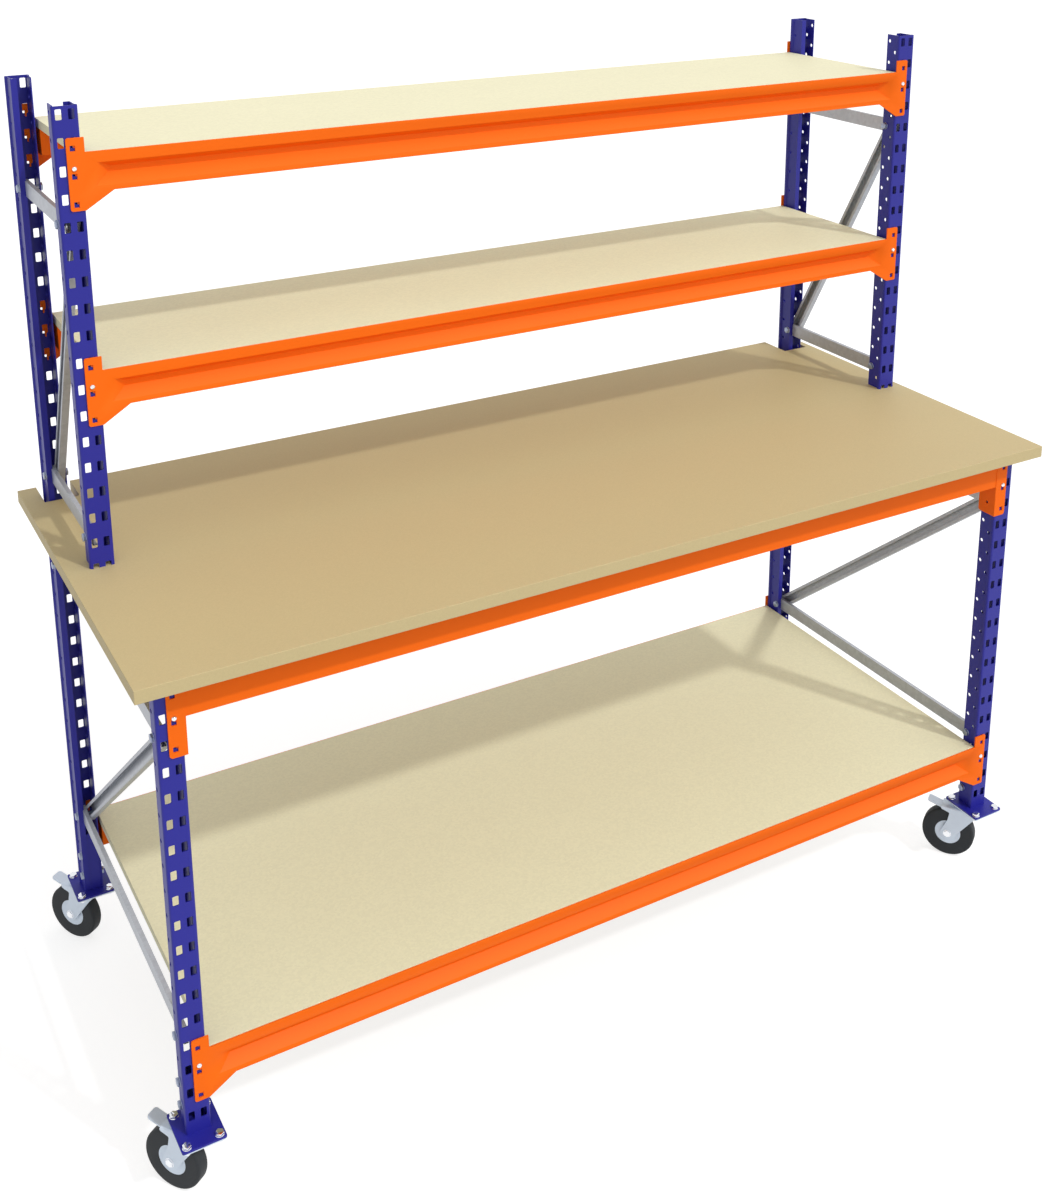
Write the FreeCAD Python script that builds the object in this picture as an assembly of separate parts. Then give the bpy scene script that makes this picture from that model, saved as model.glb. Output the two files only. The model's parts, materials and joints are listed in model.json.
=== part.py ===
import FreeCAD, Part
import math
import os

# Mobile assembly table built from light racking parts: two ladder frames of
# perforated uprights, hook-in shelf beams, chipboard panels, a worktop, and
# four braked swivel castors.  Millimetres, +Z up, standing on the floor at z = 0.

# ---- frames: places of the uprights ----
POST_SPACING = 1910.0        # between upright centre lines, along X
LOWER_DEPTH = 800.0          # over the outer faces of the tall and the short uprights
UPPER_DEPTH = 400.0          # over the outer faces of the tall and the shelf uprights

# ---- uprights: roll-formed lipped channels, open towards the inside of the frame ----
FACE_WIDTH = 46.0
POST_DEPTH = 43.5
POST_SHEET = 2.0
POST_BEND = 4.0              # outside radius of the two face corners
WALL_STEP = 3.5              # how far the side walls step in
STEP_START = 8.0             # where the step begins, behind the face
STEP_RUN = 3.0               # length of the sloping part of the step
LIP_GAP = 19.0               # slot between the two lips
HOLE_PITCH = 50.0
HOLE_WIDTH = 11.0
HOLE_HEIGHT = 19.0
HOLE_SPREAD = 22.0           # between the two columns of holes
BOLT_DEPTH = 36.0            # bolt line in the side walls, behind the face
FIRST_HOLE = 37.0            # first hole row above the foot plate
END_MARGIN = 15.0            # upright left above its last hole row
SHORT_COUNT = 18             # hole rows in an upright under the worktop
TALL_COUNT = 36              # hole rows in an upright that runs through to the top

# ---- fasteners ----
BOLT_SHANK = 8.0
BOLT_CLEARANCE = 0.2         # on each side of a shank
HEAD_FLATS = 13.0
HEAD_HEIGHT = 5.3
NUT_HEIGHT = 4.0             # thin nuts, to pass beside the connectors

# ---- bracing: cold-rolled channels bolted between the lips ----
STRUT_HEIGHT = 31.0
STRUT_WIDTH = 9.0
STRUT_SHEET = 1.5
STRUT_GAP = 0.6              # between a rail and the diagonal beside it
STRUT_END = 12.0             # strut past its bolt
LOWER_RAIL_COUNTS = (3, 15)  # hole rows up to each rail, counted from the lowest
UPPER_RAIL_COUNTS = (19, 31)

# ---- feet: plate with a channel that stands inside the upright ----
FOOT_PLATE = 4.0
FOOT_WIDTH = 82.4
FOOT_LENGTH = 101.0
FOOT_OUTSIDE = 35.4          # plate in front of the upright's face
FOOT_CHANNEL_HEIGHT = 94.0
FOOT_CHANNEL_SHEET = 3.0
FOOT_CHANNEL_DEPTH = 28.0
FOOT_BOLT_COUNTS = (0, 1)
PLATE_BOLTS_X = 60.0
PLATE_BOLTS_Y = 80.0
SEAT = 0.2                   # side clearance of a piece inside another

# ---- shelf beams: closed step section with flared hook-in ends ----
BEAM_HEIGHT = 71.5
BEAM_DEPTH = 40.0
BEAM_SHEET = 1.8
PANEL_STEP = 18.0            # ledge for the panel, below the beam's top
BEAM_LIP = 3.6               # folded lip in front of the panel
RECESS_TOP = 22.7            # pressed recess in the front face, below the beam's top
RECESS_ROOF = 5.8            # height of its sloping upper side
RECESS_BACK = 5.6            # height of its deepest part
RECESS_RAMP = 27.9           # height of the long slope back to the front face
RECESS_DEPTH = 7.0
RECESS_END = 42.0            # plain beam beyond its upper edge, from the upright's centre line
RECESS_FAN = 10.0            # how much further its lower edge runs
RECESS_TAPER = 15.0          # sloping end, from the upper edge to the deepest part
SHELF_COUNTS = (3, 26, 34)   # hole rows up to the top hook of each shelf's connectors
BEAM_BELOW_HOLE = 18.0       # beam top below the connector's top hole

# ---- worktop beams: plain box section ----
BOX_HEIGHT = 78.7
BOX_DEPTH = 40.0
BOX_COUNT = 17               # hole rows up to the top hook of its connectors
BOX_CONNECTOR_HEIGHT = 150.0
BOX_SIDE_PLATE = 45.0

# ---- connectors ----
PLATE_SHEET = 3.0
PLATE_OUTER = 3.5            # plate past the upright's centre line
PLATE_INNER = 28.0           # plate past it the other way, over the upright's edge
PLATE_ABOVE_HOLE = 8.5
PLATE_HEIGHT = 130.0
FLARE_LENGTH = 46.0          # flared edge from the plate to the beam's underside
FLARE_START = 5.0
HOOK_SHEET = 3.0
HOOK_NECK = 8.0              # height of the neck in the upright's hole
HOOK_DROP = 6.0              # hook below the hole's lower edge
HOOK_PLAY = 0.3              # between the hook and the back of the upright's face
WINDOW_WIDTH = 9.0
WINDOW_HEIGHT = 10.0
WINDOW_DROP = 10.0           # window below the hole's centre
WINDOW_SIDE = 3.5            # window beside the hole's centre
CORNER_RADIUS = 6.0

# ---- panels ----
PANEL_SHEET = 18.0
PANEL_PLAY = 1.5             # between a panel and the beam lips
PANEL_END_PLAY = 3.0         # between a panel and the uprights
WORKTOP_SHEET = 25.0
WORKTOP_LEFT = 67.0          # worktop past the left uprights' centre line
WORKTOP_RIGHT = 47.0
WORKTOP_FRONT = 58.0         # worktop past the uprights' outer faces
WORKTOP_BACK = 33.0
NOTCH_WIDTH = 69.0
NOTCH_DEPTH = 86.0
NOTCH_SHIFT = 5.0            # notch centre, inwards of the upright's centre line

# ---- castors ----
WHEEL_RADIUS = 62.0
WHEEL_WIDTH = 27.6
RIM_RADIUS = 30.7
CASTOR_TRAIL = 52.3
CASTOR_HEADING = 34.6        # degrees from X to the axle line
CASTOR_PLATE = 3.5
CASTOR_PLATE_PLAY = 1.2      # castor plate inside the foot plate's edge
RACE_RADIUS = 26.0
RACE_HEIGHT = 9.9
WHEEL_ROOM = 7.0             # from the tyre up to the crown
CROWN_SHEET = 2.5
CROWN_BACK = 18.0            # crown behind the swivel axis
CROWN_FRONT = 18.7           # crown past the axle, towards the pedal
LEG_SPACE = 16.5             # from the wheel's mid-plane to a leg
LEG_END_RADIUS = 16.0
LEG_SHOULDER = 22.0          # leg's lowest point under the crown, at its back
LEG_THROAT = 2.0             # narrowest place of the leg past the axle
THROAT_LOW = 36.0            # ends of the narrow place, under the crown's top
THROAT_HIGH = 14.0
SKIRT_DROP = 7.5
SWIVEL_PLAY = 0.3            # between the race and the crown
KINGPIN_RADIUS = 6.0
KINGPIN_NUT_FLATS = 18.0
KINGPIN_NUT_HEIGHT = 7.0
AXLE_RADIUS = 5.0
AXLE_NECK = 7.0              # side of the square part that sits in a leg
AXLE_FLATS = 15.0
AXLE_HEAD = 4.0
RUNNING_FIT = 0.05           # radial clearance of a shaft
PEDAL_PIVOT = 9.7            # pedal pivot past the axle, along the trail
PEDAL_DROP = 6.0             # pedal pivot under the crown's top
PEDAL_PIN = 2.0              # radius of the pin riveted between the legs
PEDAL_BARREL = 6.2           # across the flats of the pedal's barrel
PEDAL_REACH = 52.7           # pedal tip past the axle
PEDAL_RISE = 8.5             # pedal tip above its pivot
PEDAL_WIDTH = 27.0
PEDAL_SHEET = 3.0
SHOE_WIDTH = 14.0
SHOE_GAP = 3.8               # brake shoe above the tyre, pedal up

# ---- worked out from the sizes above ----
POST_X = POST_SPACING / 2
CROWN_TOP = 2 * WHEEL_RADIUS + WHEEL_ROOM + CROWN_SHEET
CASTOR_HEIGHT = CROWN_TOP + SWIVEL_PLAY + RACE_HEIGHT + CASTOR_PLATE
FOOT_TOP = CASTOR_HEIGHT + FOOT_PLATE
FIRST_ROW = FOOT_TOP + FIRST_HOLE
FRONT_FACE = -LOWER_DEPTH / 2
BACK_FACE = LOWER_DEPTH / 2
SHELF_FACE = BACK_FACE - UPPER_DEPTH
WALL_OUTER = FACE_WIDTH / 2 - WALL_STEP
WALL_INNER = WALL_OUTER - POST_SHEET
SIDES = {"left": -1, "right": 1}


def row(number):
    """Height of a row of holes, counted from the lowest."""
    return FIRST_ROW + number * HOLE_PITCH


SHORT_TOP = row(SHORT_COUNT - 1) + END_MARGIN
TALL_TOP = row(TALL_COUNT - 1) + END_MARGIN
WORKTOP_TOP = row(SHORT_COUNT)
WORKTOP_UNDER = WORKTOP_TOP - WORKTOP_SHEET


# ---- helpers ----
def vector(x=0.0, y=0.0, z=0.0):
    return FreeCAD.Vector(x, y, z)


def box(x0, x1, y0, y1, z0, z1):
    """A block between two corners."""
    low = vector(min(x0, x1), min(y0, y1), min(z0, z1))
    return Part.makeBox(abs(x1 - x0), abs(y1 - y0), abs(z1 - z0), low)


def rounded_outline(corners):
    """Closed wire in the XY plane; a corner is (x, y) or (x, y, radius)."""
    edges = []
    ends = []
    count = len(corners)
    for index in range(count):
        here = vector(corners[index][0], corners[index][1])
        radius = corners[index][2] if len(corners[index]) > 2 else 0.0
        if radius <= 0.0:
            ends.append((here, here))
            continue
        before = vector(*corners[index - 1][:2])
        after = vector(*corners[(index + 1) % count][:2])
        to_before = (before - here).normalize()
        to_after = (after - here).normalize()
        half = to_before.getAngle(to_after) / 2
        reach = radius / math.tan(half)
        start = here + to_before * reach
        end = here + to_after * reach
        bisector = (to_before + to_after).normalize()
        centre = here + bisector * (radius / math.sin(half))
        middle = centre - bisector * radius
        edges.append((index, Part.Arc(start, middle, end).toShape()))
        ends.append((start, end))
    arcs = dict(edges)
    chain = []
    for index in range(count):
        if index in arcs:
            chain.append(arcs[index])
        leave = ends[index][1]
        arrive = ends[(index + 1) % count][0]
        if leave.distanceToPoint(arrive) > 1e-6:
            chain.append(Part.LineSegment(leave, arrive).toShape())
    return Part.Wire(chain)


def prism(corners, length):
    """The outline of the corners, extruded along +Z."""
    return Part.Face(rounded_outline(corners)).extrude(vector(z=length))


def along_x(solid, start):
    """Turn a prism so its outline lies in the YZ plane and it runs along +X from start."""
    turned = solid.copy()
    turned.transformShape(FreeCAD.Matrix(0, 0, 1, start, 1, 0, 0, 0, 0, 1, 0, 0, 0, 0, 0, 1))
    return turned


def along_y(solid, start):
    """Turn a prism so its outline lies in the XZ plane and it runs along +Y from start."""
    turned = solid.copy()
    turned.transformShape(FreeCAD.Matrix(1, 0, 0, 0, 0, 0, 1, start, 0, 1, 0, 0, 0, 0, 0, 1))
    if turned.Volume < 0:
        turned.reverse()
    return turned


def mirrored_x(solid):
    return solid.mirror(vector(), vector(x=1))


def mirrored_y(solid):
    return solid.mirror(vector(), vector(y=1))


def polygon(flats, sides=6):
    """Corners of a regular polygon with the given width across its flats."""
    radius = flats / 2 / math.cos(math.pi / sides)
    angles = [2 * math.pi * step / sides for step in range(sides)]
    return [(radius * math.cos(angle), radius * math.sin(angle)) for angle in angles]


def hex_bolt(grip):
    """A bolt with its nut, along +Z: the head lies below z = 0 and the nut above z = grip."""
    half = BOLT_SHANK / 2
    length = HEAD_HEIGHT + grip + NUT_HEIGHT / 2
    head = prism(polygon(HEAD_FLATS), HEAD_HEIGHT)
    shank = box(-half, half, -half, half, 0, length)
    nut = prism(polygon(HEAD_FLATS), NUT_HEIGHT)
    nut.translate(vector(z=HEAD_HEIGHT + grip))
    bolt = head.fuse([shank, nut])
    bolt.translate(vector(z=-HEAD_HEIGHT))
    return bolt.removeSplitter()


# ---- uprights ----
def post_section():
    """Half of the closed sheet outline is drawn, then repeated on the other side."""
    face = FACE_WIDTH / 2
    lip = LIP_GAP / 2
    step_end = STEP_START + STEP_RUN
    outer = [(face, 0, POST_BEND), (face, STEP_START), (WALL_OUTER, step_end),
             (WALL_OUTER, POST_DEPTH), (lip, POST_DEPTH)]
    inner = [(lip, POST_DEPTH - POST_SHEET), (WALL_INNER, POST_DEPTH - POST_SHEET),
             (WALL_INNER, step_end), (face - POST_SHEET, STEP_START),
             (face - POST_SHEET, POST_SHEET)]
    half = outer + inner
    other = [(-corner[0],) + tuple(corner[1:]) for corner in reversed(half)]
    return half + other


def post(z_low, z_high, first_row, row_count, bolt_rows):
    """An upright with its face at y = 0 and its open side towards +Y."""
    body = prism(post_section(), z_high - z_low)
    body.translate(vector(z=z_low))
    half_width = HOLE_WIDTH / 2
    half_height = HOLE_HEIGHT / 2
    holes = []
    for number in range(first_row, first_row + row_count):
        height = row(number)
        for side in (-1, 1):
            centre = side * HOLE_SPREAD / 2
            holes.append(box(centre - half_width, centre + half_width, -1, POST_SHEET + 1,
                             height - half_height, height + half_height))
    reach = FACE_WIDTH / 2
    half = BOLT_SHANK / 2 + BOLT_CLEARANCE
    for number in bolt_rows:
        height = row(number)
        holes.append(box(-reach, reach, BOLT_DEPTH - half, BOLT_DEPTH + half,
                         height - half, height + half))
    return body.cut(holes)


def place_post(shape, side, face_y, opens_back):
    """Stand an upright on its centre line, with its face at face_y."""
    placed = shape if opens_back else mirrored_y(shape)
    placed = placed.copy()
    placed.translate(vector(side * POST_X, face_y))
    return placed


# ---- bracing ----
def strut(length, web_side):
    """A channel along +Y whose web looks towards web_side, from bolt to bolt."""
    near = STRUT_GAP / 2
    far = near + STRUT_WIDTH
    half = STRUT_HEIGHT / 2
    corners = [(near, half), (far, half), (far, -half), (near, -half),
               (near, STRUT_SHEET - half), (far - STRUT_SHEET, STRUT_SHEET - half),
               (far - STRUT_SHEET, half - STRUT_SHEET), (near, half - STRUT_SHEET)]
    body = along_y(prism(corners, length + 2 * STRUT_END), -STRUT_END)
    return body if web_side > 0 else mirrored_x(body)


def place_strut(side, start, end, web_side):
    """A strut from one bolt to another; start and end are (y, z)."""
    run = end[0] - start[0]
    rise = end[1] - start[1]
    body = strut(math.hypot(run, rise), web_side)
    body.rotate(vector(), vector(x=1), math.degrees(math.atan2(rise, run)))
    body.translate(vector(y=start[0], z=start[1]))
    size = BOLT_SHANK / 2 + BOLT_CLEARANCE
    reach = STRUT_GAP + STRUT_WIDTH
    holes = [box(-reach, reach, y - size, y + size, z - size, z + size) for y, z in (start, end)]
    body = body.cut(holes)
    body.translate(vector(side * POST_X))
    return body


# ---- feet ----
def foot():
    """A foot for an upright whose face is at y = 0 and whose open side is towards +Y."""
    plate = box(-FOOT_WIDTH / 2, FOOT_WIDTH / 2, -FOOT_OUTSIDE, FOOT_LENGTH - FOOT_OUTSIDE,
                CASTOR_HEIGHT, FOOT_TOP)
    outer = WALL_INNER - SEAT
    inner = outer - FOOT_CHANNEL_SHEET
    back = POST_DEPTH - POST_SHEET - SEAT
    front = back - FOOT_CHANNEL_DEPTH
    channel = [(outer, front), (outer, back), (-outer, back), (-outer, front),
               (-inner, front), (-inner, back - FOOT_CHANNEL_SHEET),
               (inner, back - FOOT_CHANNEL_SHEET), (inner, front)]
    upstand = prism(channel, FOOT_CHANNEL_HEIGHT)
    upstand.translate(vector(z=FOOT_TOP))
    body = plate.fuse(upstand)
    size = BOLT_SHANK / 2 + BOLT_CLEARANCE
    holes = []
    for number in FOOT_BOLT_COUNTS:
        holes.append(box(-outer - 1, outer + 1, BOLT_DEPTH - size, BOLT_DEPTH + size,
                         row(number) - size, row(number) + size))
    for x, y in plate_bolt_places():
        holes.append(box(x - size, x + size, y - size, y + size, CASTOR_HEIGHT - 1, FOOT_TOP + 1))
    return body.cut(holes).removeSplitter()


FOOT_CENTRE = FOOT_LENGTH / 2 - FOOT_OUTSIDE


def plate_bolt_places():
    """The four bolts of a castor, in the foot's own frame."""
    return [(sx * PLATE_BOLTS_X / 2, FOOT_CENTRE + sy * PLATE_BOLTS_Y / 2)
            for sx in (-1, 1) for sy in (-1, 1)]


# ---- connectors and beams ----
def hook(row_height):
    """A hook for the hole at (x = -HOLE_SPREAD / 2), behind a plate whose back is at y = 0."""
    low = row_height - HOLE_HEIGHT / 2
    inside = POST_SHEET + HOOK_PLAY
    corners = [(0, low), (inside, low), (inside, low - HOOK_DROP),
               (inside + HOOK_SHEET, low - HOOK_DROP), (inside + HOOK_SHEET, low + HOOK_NECK),
               (0, low + HOOK_NECK)]
    centre = -HOLE_SPREAD / 2
    return along_x(prism(corners, HOOK_SHEET), centre - HOOK_SHEET / 2)


def connector(corners, rows):
    """A front plate with windows and hooks; x runs outwards from the upright's centre line.

    The beam lies towards -X, and the plate's back is at y = 0.
    """
    body = along_y(prism(corners, PLATE_SHEET), -PLATE_SHEET)
    for height in rows:
        body = body.fuse(hook(height))
    windows = []
    centre = -HOLE_SPREAD / 2 + WINDOW_SIDE
    for height in rows:
        middle = height - WINDOW_DROP
        windows.append(box(centre - WINDOW_WIDTH / 2, centre + WINDOW_WIDTH / 2,
                           -PLATE_SHEET - 1, 0, middle - WINDOW_HEIGHT / 2,
                           middle + WINDOW_HEIGHT / 2))
    return body.cut(windows)


def beam_recess(front, top, extra):
    """The recess pressed into a beam's front face, grown by extra to leave a wall round it.

    Its section runs from the upper edge in to the deepest part and out along the ramp,
    and both its ends slope.
    """
    upper = top - RECESS_TOP
    reach = POST_X - RECESS_END + extra
    back = front + RECESS_DEPTH + extra
    roof = upper - RECESS_ROOF
    floor = roof - RECESS_BACK
    section = [(reach, front, upper + extra), (reach - 2 * RECESS_TAPER + RECESS_BACK, back, roof),
               (reach - RECESS_TAPER, back, floor),
               (reach + RECESS_FAN, front, floor - RECESS_RAMP - extra)]
    right = [vector(*corner) for corner in section]
    left = [vector(-corner.x, corner.y, corner.z) for corner in right]
    outlines = []
    for end in (left, right):
        outlines.append([end[0], end[1], end[2]])
        outlines.append([end[0], end[2], end[3]])
    for index in range(4):
        following = (index + 1) % 4
        outlines.append([left[index], left[following], right[following], right[index]])
    faces = [Part.Face(Part.makePolygon(outline + outline[:1])) for outline in outlines]
    solid = Part.makeSolid(Part.makeShell(faces))
    if solid.Volume < 0:
        solid.reverse()
    return solid


def shelf_beam(top_row):
    """A shelf beam with its connectors' backs at y = 0 and its ledge towards +Y."""
    rows = [row(top_row - step) for step in range(3)]
    top = rows[0] - BEAM_BELOW_HOLE
    under = top - BEAM_HEIGHT
    ledge = top - PANEL_STEP
    front = -PLATE_SHEET
    back = front + BEAM_DEPTH
    end = POST_X - PLATE_INNER
    sheet = BEAM_SHEET
    section = [(front, under), (back, under), (back, ledge), (front + BEAM_LIP, ledge),
               (front + BEAM_LIP, top), (front, top)]
    hollow = [(front + sheet, under + sheet), (back - sheet, under + sheet),
              (back - sheet, ledge - sheet), (front + sheet, ledge - sheet)]
    tube = along_x(prism(section, 2 * end), -end)
    core = along_x(prism(hollow, 2 * (end - PLATE_SHEET)), PLATE_SHEET - end)
    core = core.cut(beam_recess(front, top, sheet))
    tube = tube.cut([beam_recess(front, top, 0.0), core])
    plate_top = rows[0] + PLATE_ABOVE_HOLE
    plate_low = plate_top - PLATE_HEIGHT
    inner = -PLATE_INNER
    plate = [(PLATE_OUTER, plate_low), (PLATE_OUTER, plate_top), (inner, plate_top), (inner, under),
             (inner - FLARE_LENGTH, under), (-FACE_WIDTH / 2, plate_low)]
    end_plate = connector(plate, rows)
    end_plate.translate(vector(POST_X))
    return tube.fuse([end_plate, mirrored_x(end_plate)]).removeSplitter()


def worktop_beam():
    """A box beam under the worktop, placed as shelf_beam places its own."""
    rows = [row(BOX_COUNT - step) for step in range(3)]
    front = -PLATE_SHEET + 1.0
    back = front + BOX_DEPTH
    under = WORKTOP_UNDER - BOX_HEIGHT
    sheet = BEAM_SHEET
    end = POST_X - PLATE_INNER
    section = [(front, under), (back, under), (back, WORKTOP_UNDER), (front, WORKTOP_UNDER)]
    hollow = [(front + sheet, under + sheet), (back - sheet, under + sheet),
              (back - sheet, WORKTOP_UNDER - sheet), (front + sheet, WORKTOP_UNDER - sheet)]
    tube = along_x(prism(section, 2 * end), -end)
    core = along_x(prism(hollow, 2 * end), -end)
    tube = tube.cut(core)
    plate_top = WORKTOP_UNDER - SEAT
    plate_low = plate_top - BOX_CONNECTOR_HEIGHT
    inner = -PLATE_INNER
    plate = [(PLATE_OUTER, plate_low, CORNER_RADIUS), (PLATE_OUTER, plate_top),
             (inner, plate_top), (inner, plate_low)]
    end_plate = connector(plate, rows)
    side = [(-PLATE_SHEET, plate_low), (BOX_SIDE_PLATE, plate_low, CORNER_RADIUS),
            (BOX_SIDE_PLATE, plate_top), (-PLATE_SHEET, plate_top)]
    side_plate = along_x(prism(side, PLATE_SHEET), inner)
    end_plate = end_plate.fuse(side_plate)
    end_plate.translate(vector(POST_X))
    return tube.fuse([end_plate, mirrored_x(end_plate)]).removeSplitter()


# ---- panels ----
def shelf_panel(top_row, front_face, back_face):
    """A panel that lies on the ledges of two beams, flush with their tops."""
    top = row(top_row) - BEAM_BELOW_HOLE
    edge = PLATE_SHEET - BEAM_LIP - PANEL_PLAY
    end = POST_X - FACE_WIDTH / 2 - PANEL_END_PLAY
    return box(-end, end, front_face - edge, back_face + edge, top - PANEL_STEP,
               top - PANEL_STEP + PANEL_SHEET)


def worktop():
    """The worktop, notched at the back round the tall uprights."""
    back = BACK_FACE + WORKTOP_BACK
    body = box(-POST_X - WORKTOP_LEFT, POST_X + WORKTOP_RIGHT, FRONT_FACE - WORKTOP_FRONT, back,
               WORKTOP_UNDER, WORKTOP_TOP)
    notches = []
    for side in (-1, 1):
        centre = side * (POST_X - NOTCH_SHIFT)
        notches.append(box(centre - NOTCH_WIDTH / 2, centre + NOTCH_WIDTH / 2,
                           back - NOTCH_DEPTH, back + 1, WORKTOP_UNDER - 1, WORKTOP_TOP + 1))
    return body.cut(notches)


# ---- castors ----
# Each piece is drawn with the swivel axis on Z, the axle line along X and the
# wheel trailing towards +Y, then turned to the castor's heading.
def shaft(radius, reach, y, z):
    """A round bar along the axle's direction, as long to each side as its reach."""
    return Part.makeCylinder(radius, 2 * reach, vector(-reach, y, z), vector(x=1))


def at_axle(radius, reach):
    return shaft(radius, reach, CASTOR_TRAIL, WHEEL_RADIUS)


def tyre():
    half = WHEEL_WIDTH / 2
    return at_axle(WHEEL_RADIUS, half).cut(at_axle(RIM_RADIUS, half + 1))


def rim():
    half = WHEEL_WIDTH / 2
    return at_axle(RIM_RADIUS, half).cut(at_axle(AXLE_RADIUS + RUNNING_FIT, half + 1))


def axle_neck(play, reach):
    """The square bar in which the axle ends on both sides, with play all round."""
    half = AXLE_NECK / 2 + play
    return box(-reach, reach, CASTOR_TRAIL - half, CASTOR_TRAIL + half,
               WHEEL_RADIUS - half, WHEEL_RADIUS + half)


def axle():
    """A bolt through both legs, round in the wheel, with its head and nut outside."""
    reach = LEG_SPACE + CROWN_SHEET
    pieces = [axle_neck(0.0, reach)]
    for start in (-reach - AXLE_HEAD, reach):
        end = along_x(prism(polygon(AXLE_FLATS), AXLE_HEAD), start)
        end.translate(vector(y=CASTOR_TRAIL, z=WHEEL_RADIUS))
        pieces.append(end)
    return at_axle(AXLE_RADIUS, LEG_SPACE - SEAT).fuse(pieces)


def leg():
    """One side of the fork, as a plate that lies in the YZ plane from x = 0."""
    top = CROWN_TOP
    end = vector(CASTOR_TRAIL, WHEEL_RADIUS)
    crown_front = CASTOR_TRAIL + CROWN_FRONT
    back = vector(-CROWN_BACK / 4, top - LEG_SHOULDER)
    throat = vector(CASTOR_TRAIL + LEG_THROAT, top - THROAT_LOW)
    low = end + vector(y=-LEG_END_RADIUS)
    start = tangent_point(back, end, LEG_END_RADIUS, -1)
    finish = tangent_point(throat, end, LEG_END_RADIUS, 1)
    path = [finish, throat, vector(CASTOR_TRAIL - LEG_THROAT, top - THROAT_HIGH),
            vector(crown_front, top - SKIRT_DROP), vector(crown_front, top),
            vector(-CROWN_BACK, top), vector(-CROWN_BACK, top - SKIRT_DROP), back, start]
    edges = [Part.LineSegment(a, b).toShape() for a, b in zip(path, path[1:])]
    edges.append(Part.Arc(start, low, finish).toShape())
    plate = Part.Face(Part.Wire(edges)).extrude(vector(z=CROWN_SHEET))
    return along_x(plate, 0.0)


def tangent_point(point, centre, radius, side):
    """Where a line from the point touches a circle, on the given side of it."""
    away = point - centre
    angle = math.atan2(away.y, away.x) - side * math.acos(radius / away.Length)
    return centre + vector(radius * math.cos(angle), radius * math.sin(angle))


def fork():
    """Crown and legs pressed from one sheet, with the pedal's pin riveted between the legs."""
    outer = LEG_SPACE + CROWN_SHEET
    crown = box(-outer, outer, -CROWN_BACK, CASTOR_TRAIL + CROWN_FRONT,
                CROWN_TOP - CROWN_SHEET, CROWN_TOP)
    near = leg()
    near.translate(vector(LEG_SPACE))
    far = leg()
    far.translate(vector(-outer))
    rivet = shaft(PEDAL_PIN, LEG_SPACE, *pedal_pivot())
    body = crown.fuse([near, far, rivet])
    kingpin = Part.makeCylinder(KINGPIN_RADIUS + RUNNING_FIT, CROWN_SHEET * 3,
                                vector(z=CROWN_TOP - 2 * CROWN_SHEET))
    return body.cut([kingpin, axle_neck(SEAT, outer + 1)]).removeSplitter()


def pedal_pivot():
    """Place of the pedal's pin along the trail, and its height."""
    return CASTOR_TRAIL + PEDAL_PIVOT, CROWN_TOP - PEDAL_DROP


def pedal():
    """A brake lever whose barrel turns on the pin, with the shoe that presses on the tyre."""
    along, height = pedal_pivot()
    reach = LEG_SPACE - SEAT
    barrel = along_x(prism(polygon(PEDAL_BARREL, 8), 2 * reach), -reach)
    barrel.rotate(vector(), vector(x=1), 180 / 8)
    barrel.translate(vector(y=along, z=height))
    low = height - PEDAL_SHEET / 2
    bend = CASTOR_TRAIL + CROWN_FRONT + PEDAL_SHEET
    tip = CASTOR_TRAIL + PEDAL_REACH
    tip_low = low + PEDAL_RISE
    lever = [(along, low), (bend, low), (tip, tip_low), (tip, tip_low + PEDAL_SHEET),
             (bend, low + PEDAL_SHEET), (along, low + PEDAL_SHEET)]
    plate = along_x(prism(lever, PEDAL_WIDTH), -PEDAL_WIDTH / 2)
    near = along + PEDAL_BARREL / 2
    shoe = [(near, height), (near, tyre_height(near) + SHOE_GAP),
            (bend, tyre_height(bend) + SHOE_GAP), (bend, height)]
    block = along_x(prism(shoe, SHOE_WIDTH), -SHOE_WIDTH / 2)
    bore = shaft(PEDAL_PIN + RUNNING_FIT, LEG_SPACE, along, height)
    return barrel.fuse([plate, block]).cut(bore).removeSplitter()


def tyre_height(y):
    """Height of the tyre's surface above the floor, at a distance along the trail."""
    return WHEEL_RADIUS + math.sqrt(WHEEL_RADIUS ** 2 - (y - CASTOR_TRAIL) ** 2)


def castor_mount():
    """The top plate with the fixed race and the kingpin; it lies square to the foot."""
    half_x = FOOT_WIDTH / 2 - CASTOR_PLATE_PLAY
    half_y = FOOT_LENGTH / 2 - CASTOR_PLATE_PLAY
    under = CASTOR_HEIGHT - CASTOR_PLATE
    plate = box(-half_x, half_x, -half_y, half_y, under, CASTOR_HEIGHT)
    size = BOLT_SHANK / 2 + BOLT_CLEARANCE
    holes = [box(x - size, x + size, y - FOOT_CENTRE - size, y - FOOT_CENTRE + size,
                 under - 1, CASTOR_HEIGHT + 1) for x, y in plate_bolt_places()]
    plate = plate.cut(holes)
    race = Part.makeCylinder(RACE_RADIUS, RACE_HEIGHT, vector(z=under - RACE_HEIGHT))
    nut_top = CROWN_TOP - CROWN_SHEET - SWIVEL_PLAY
    pin = Part.makeCylinder(KINGPIN_RADIUS, under - nut_top, vector(z=nut_top))
    nut = prism(polygon(KINGPIN_NUT_FLATS), KINGPIN_NUT_HEIGHT)
    nut.translate(vector(z=nut_top - KINGPIN_NUT_HEIGHT))
    return plate.fuse([race, pin, nut]).removeSplitter()


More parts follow.
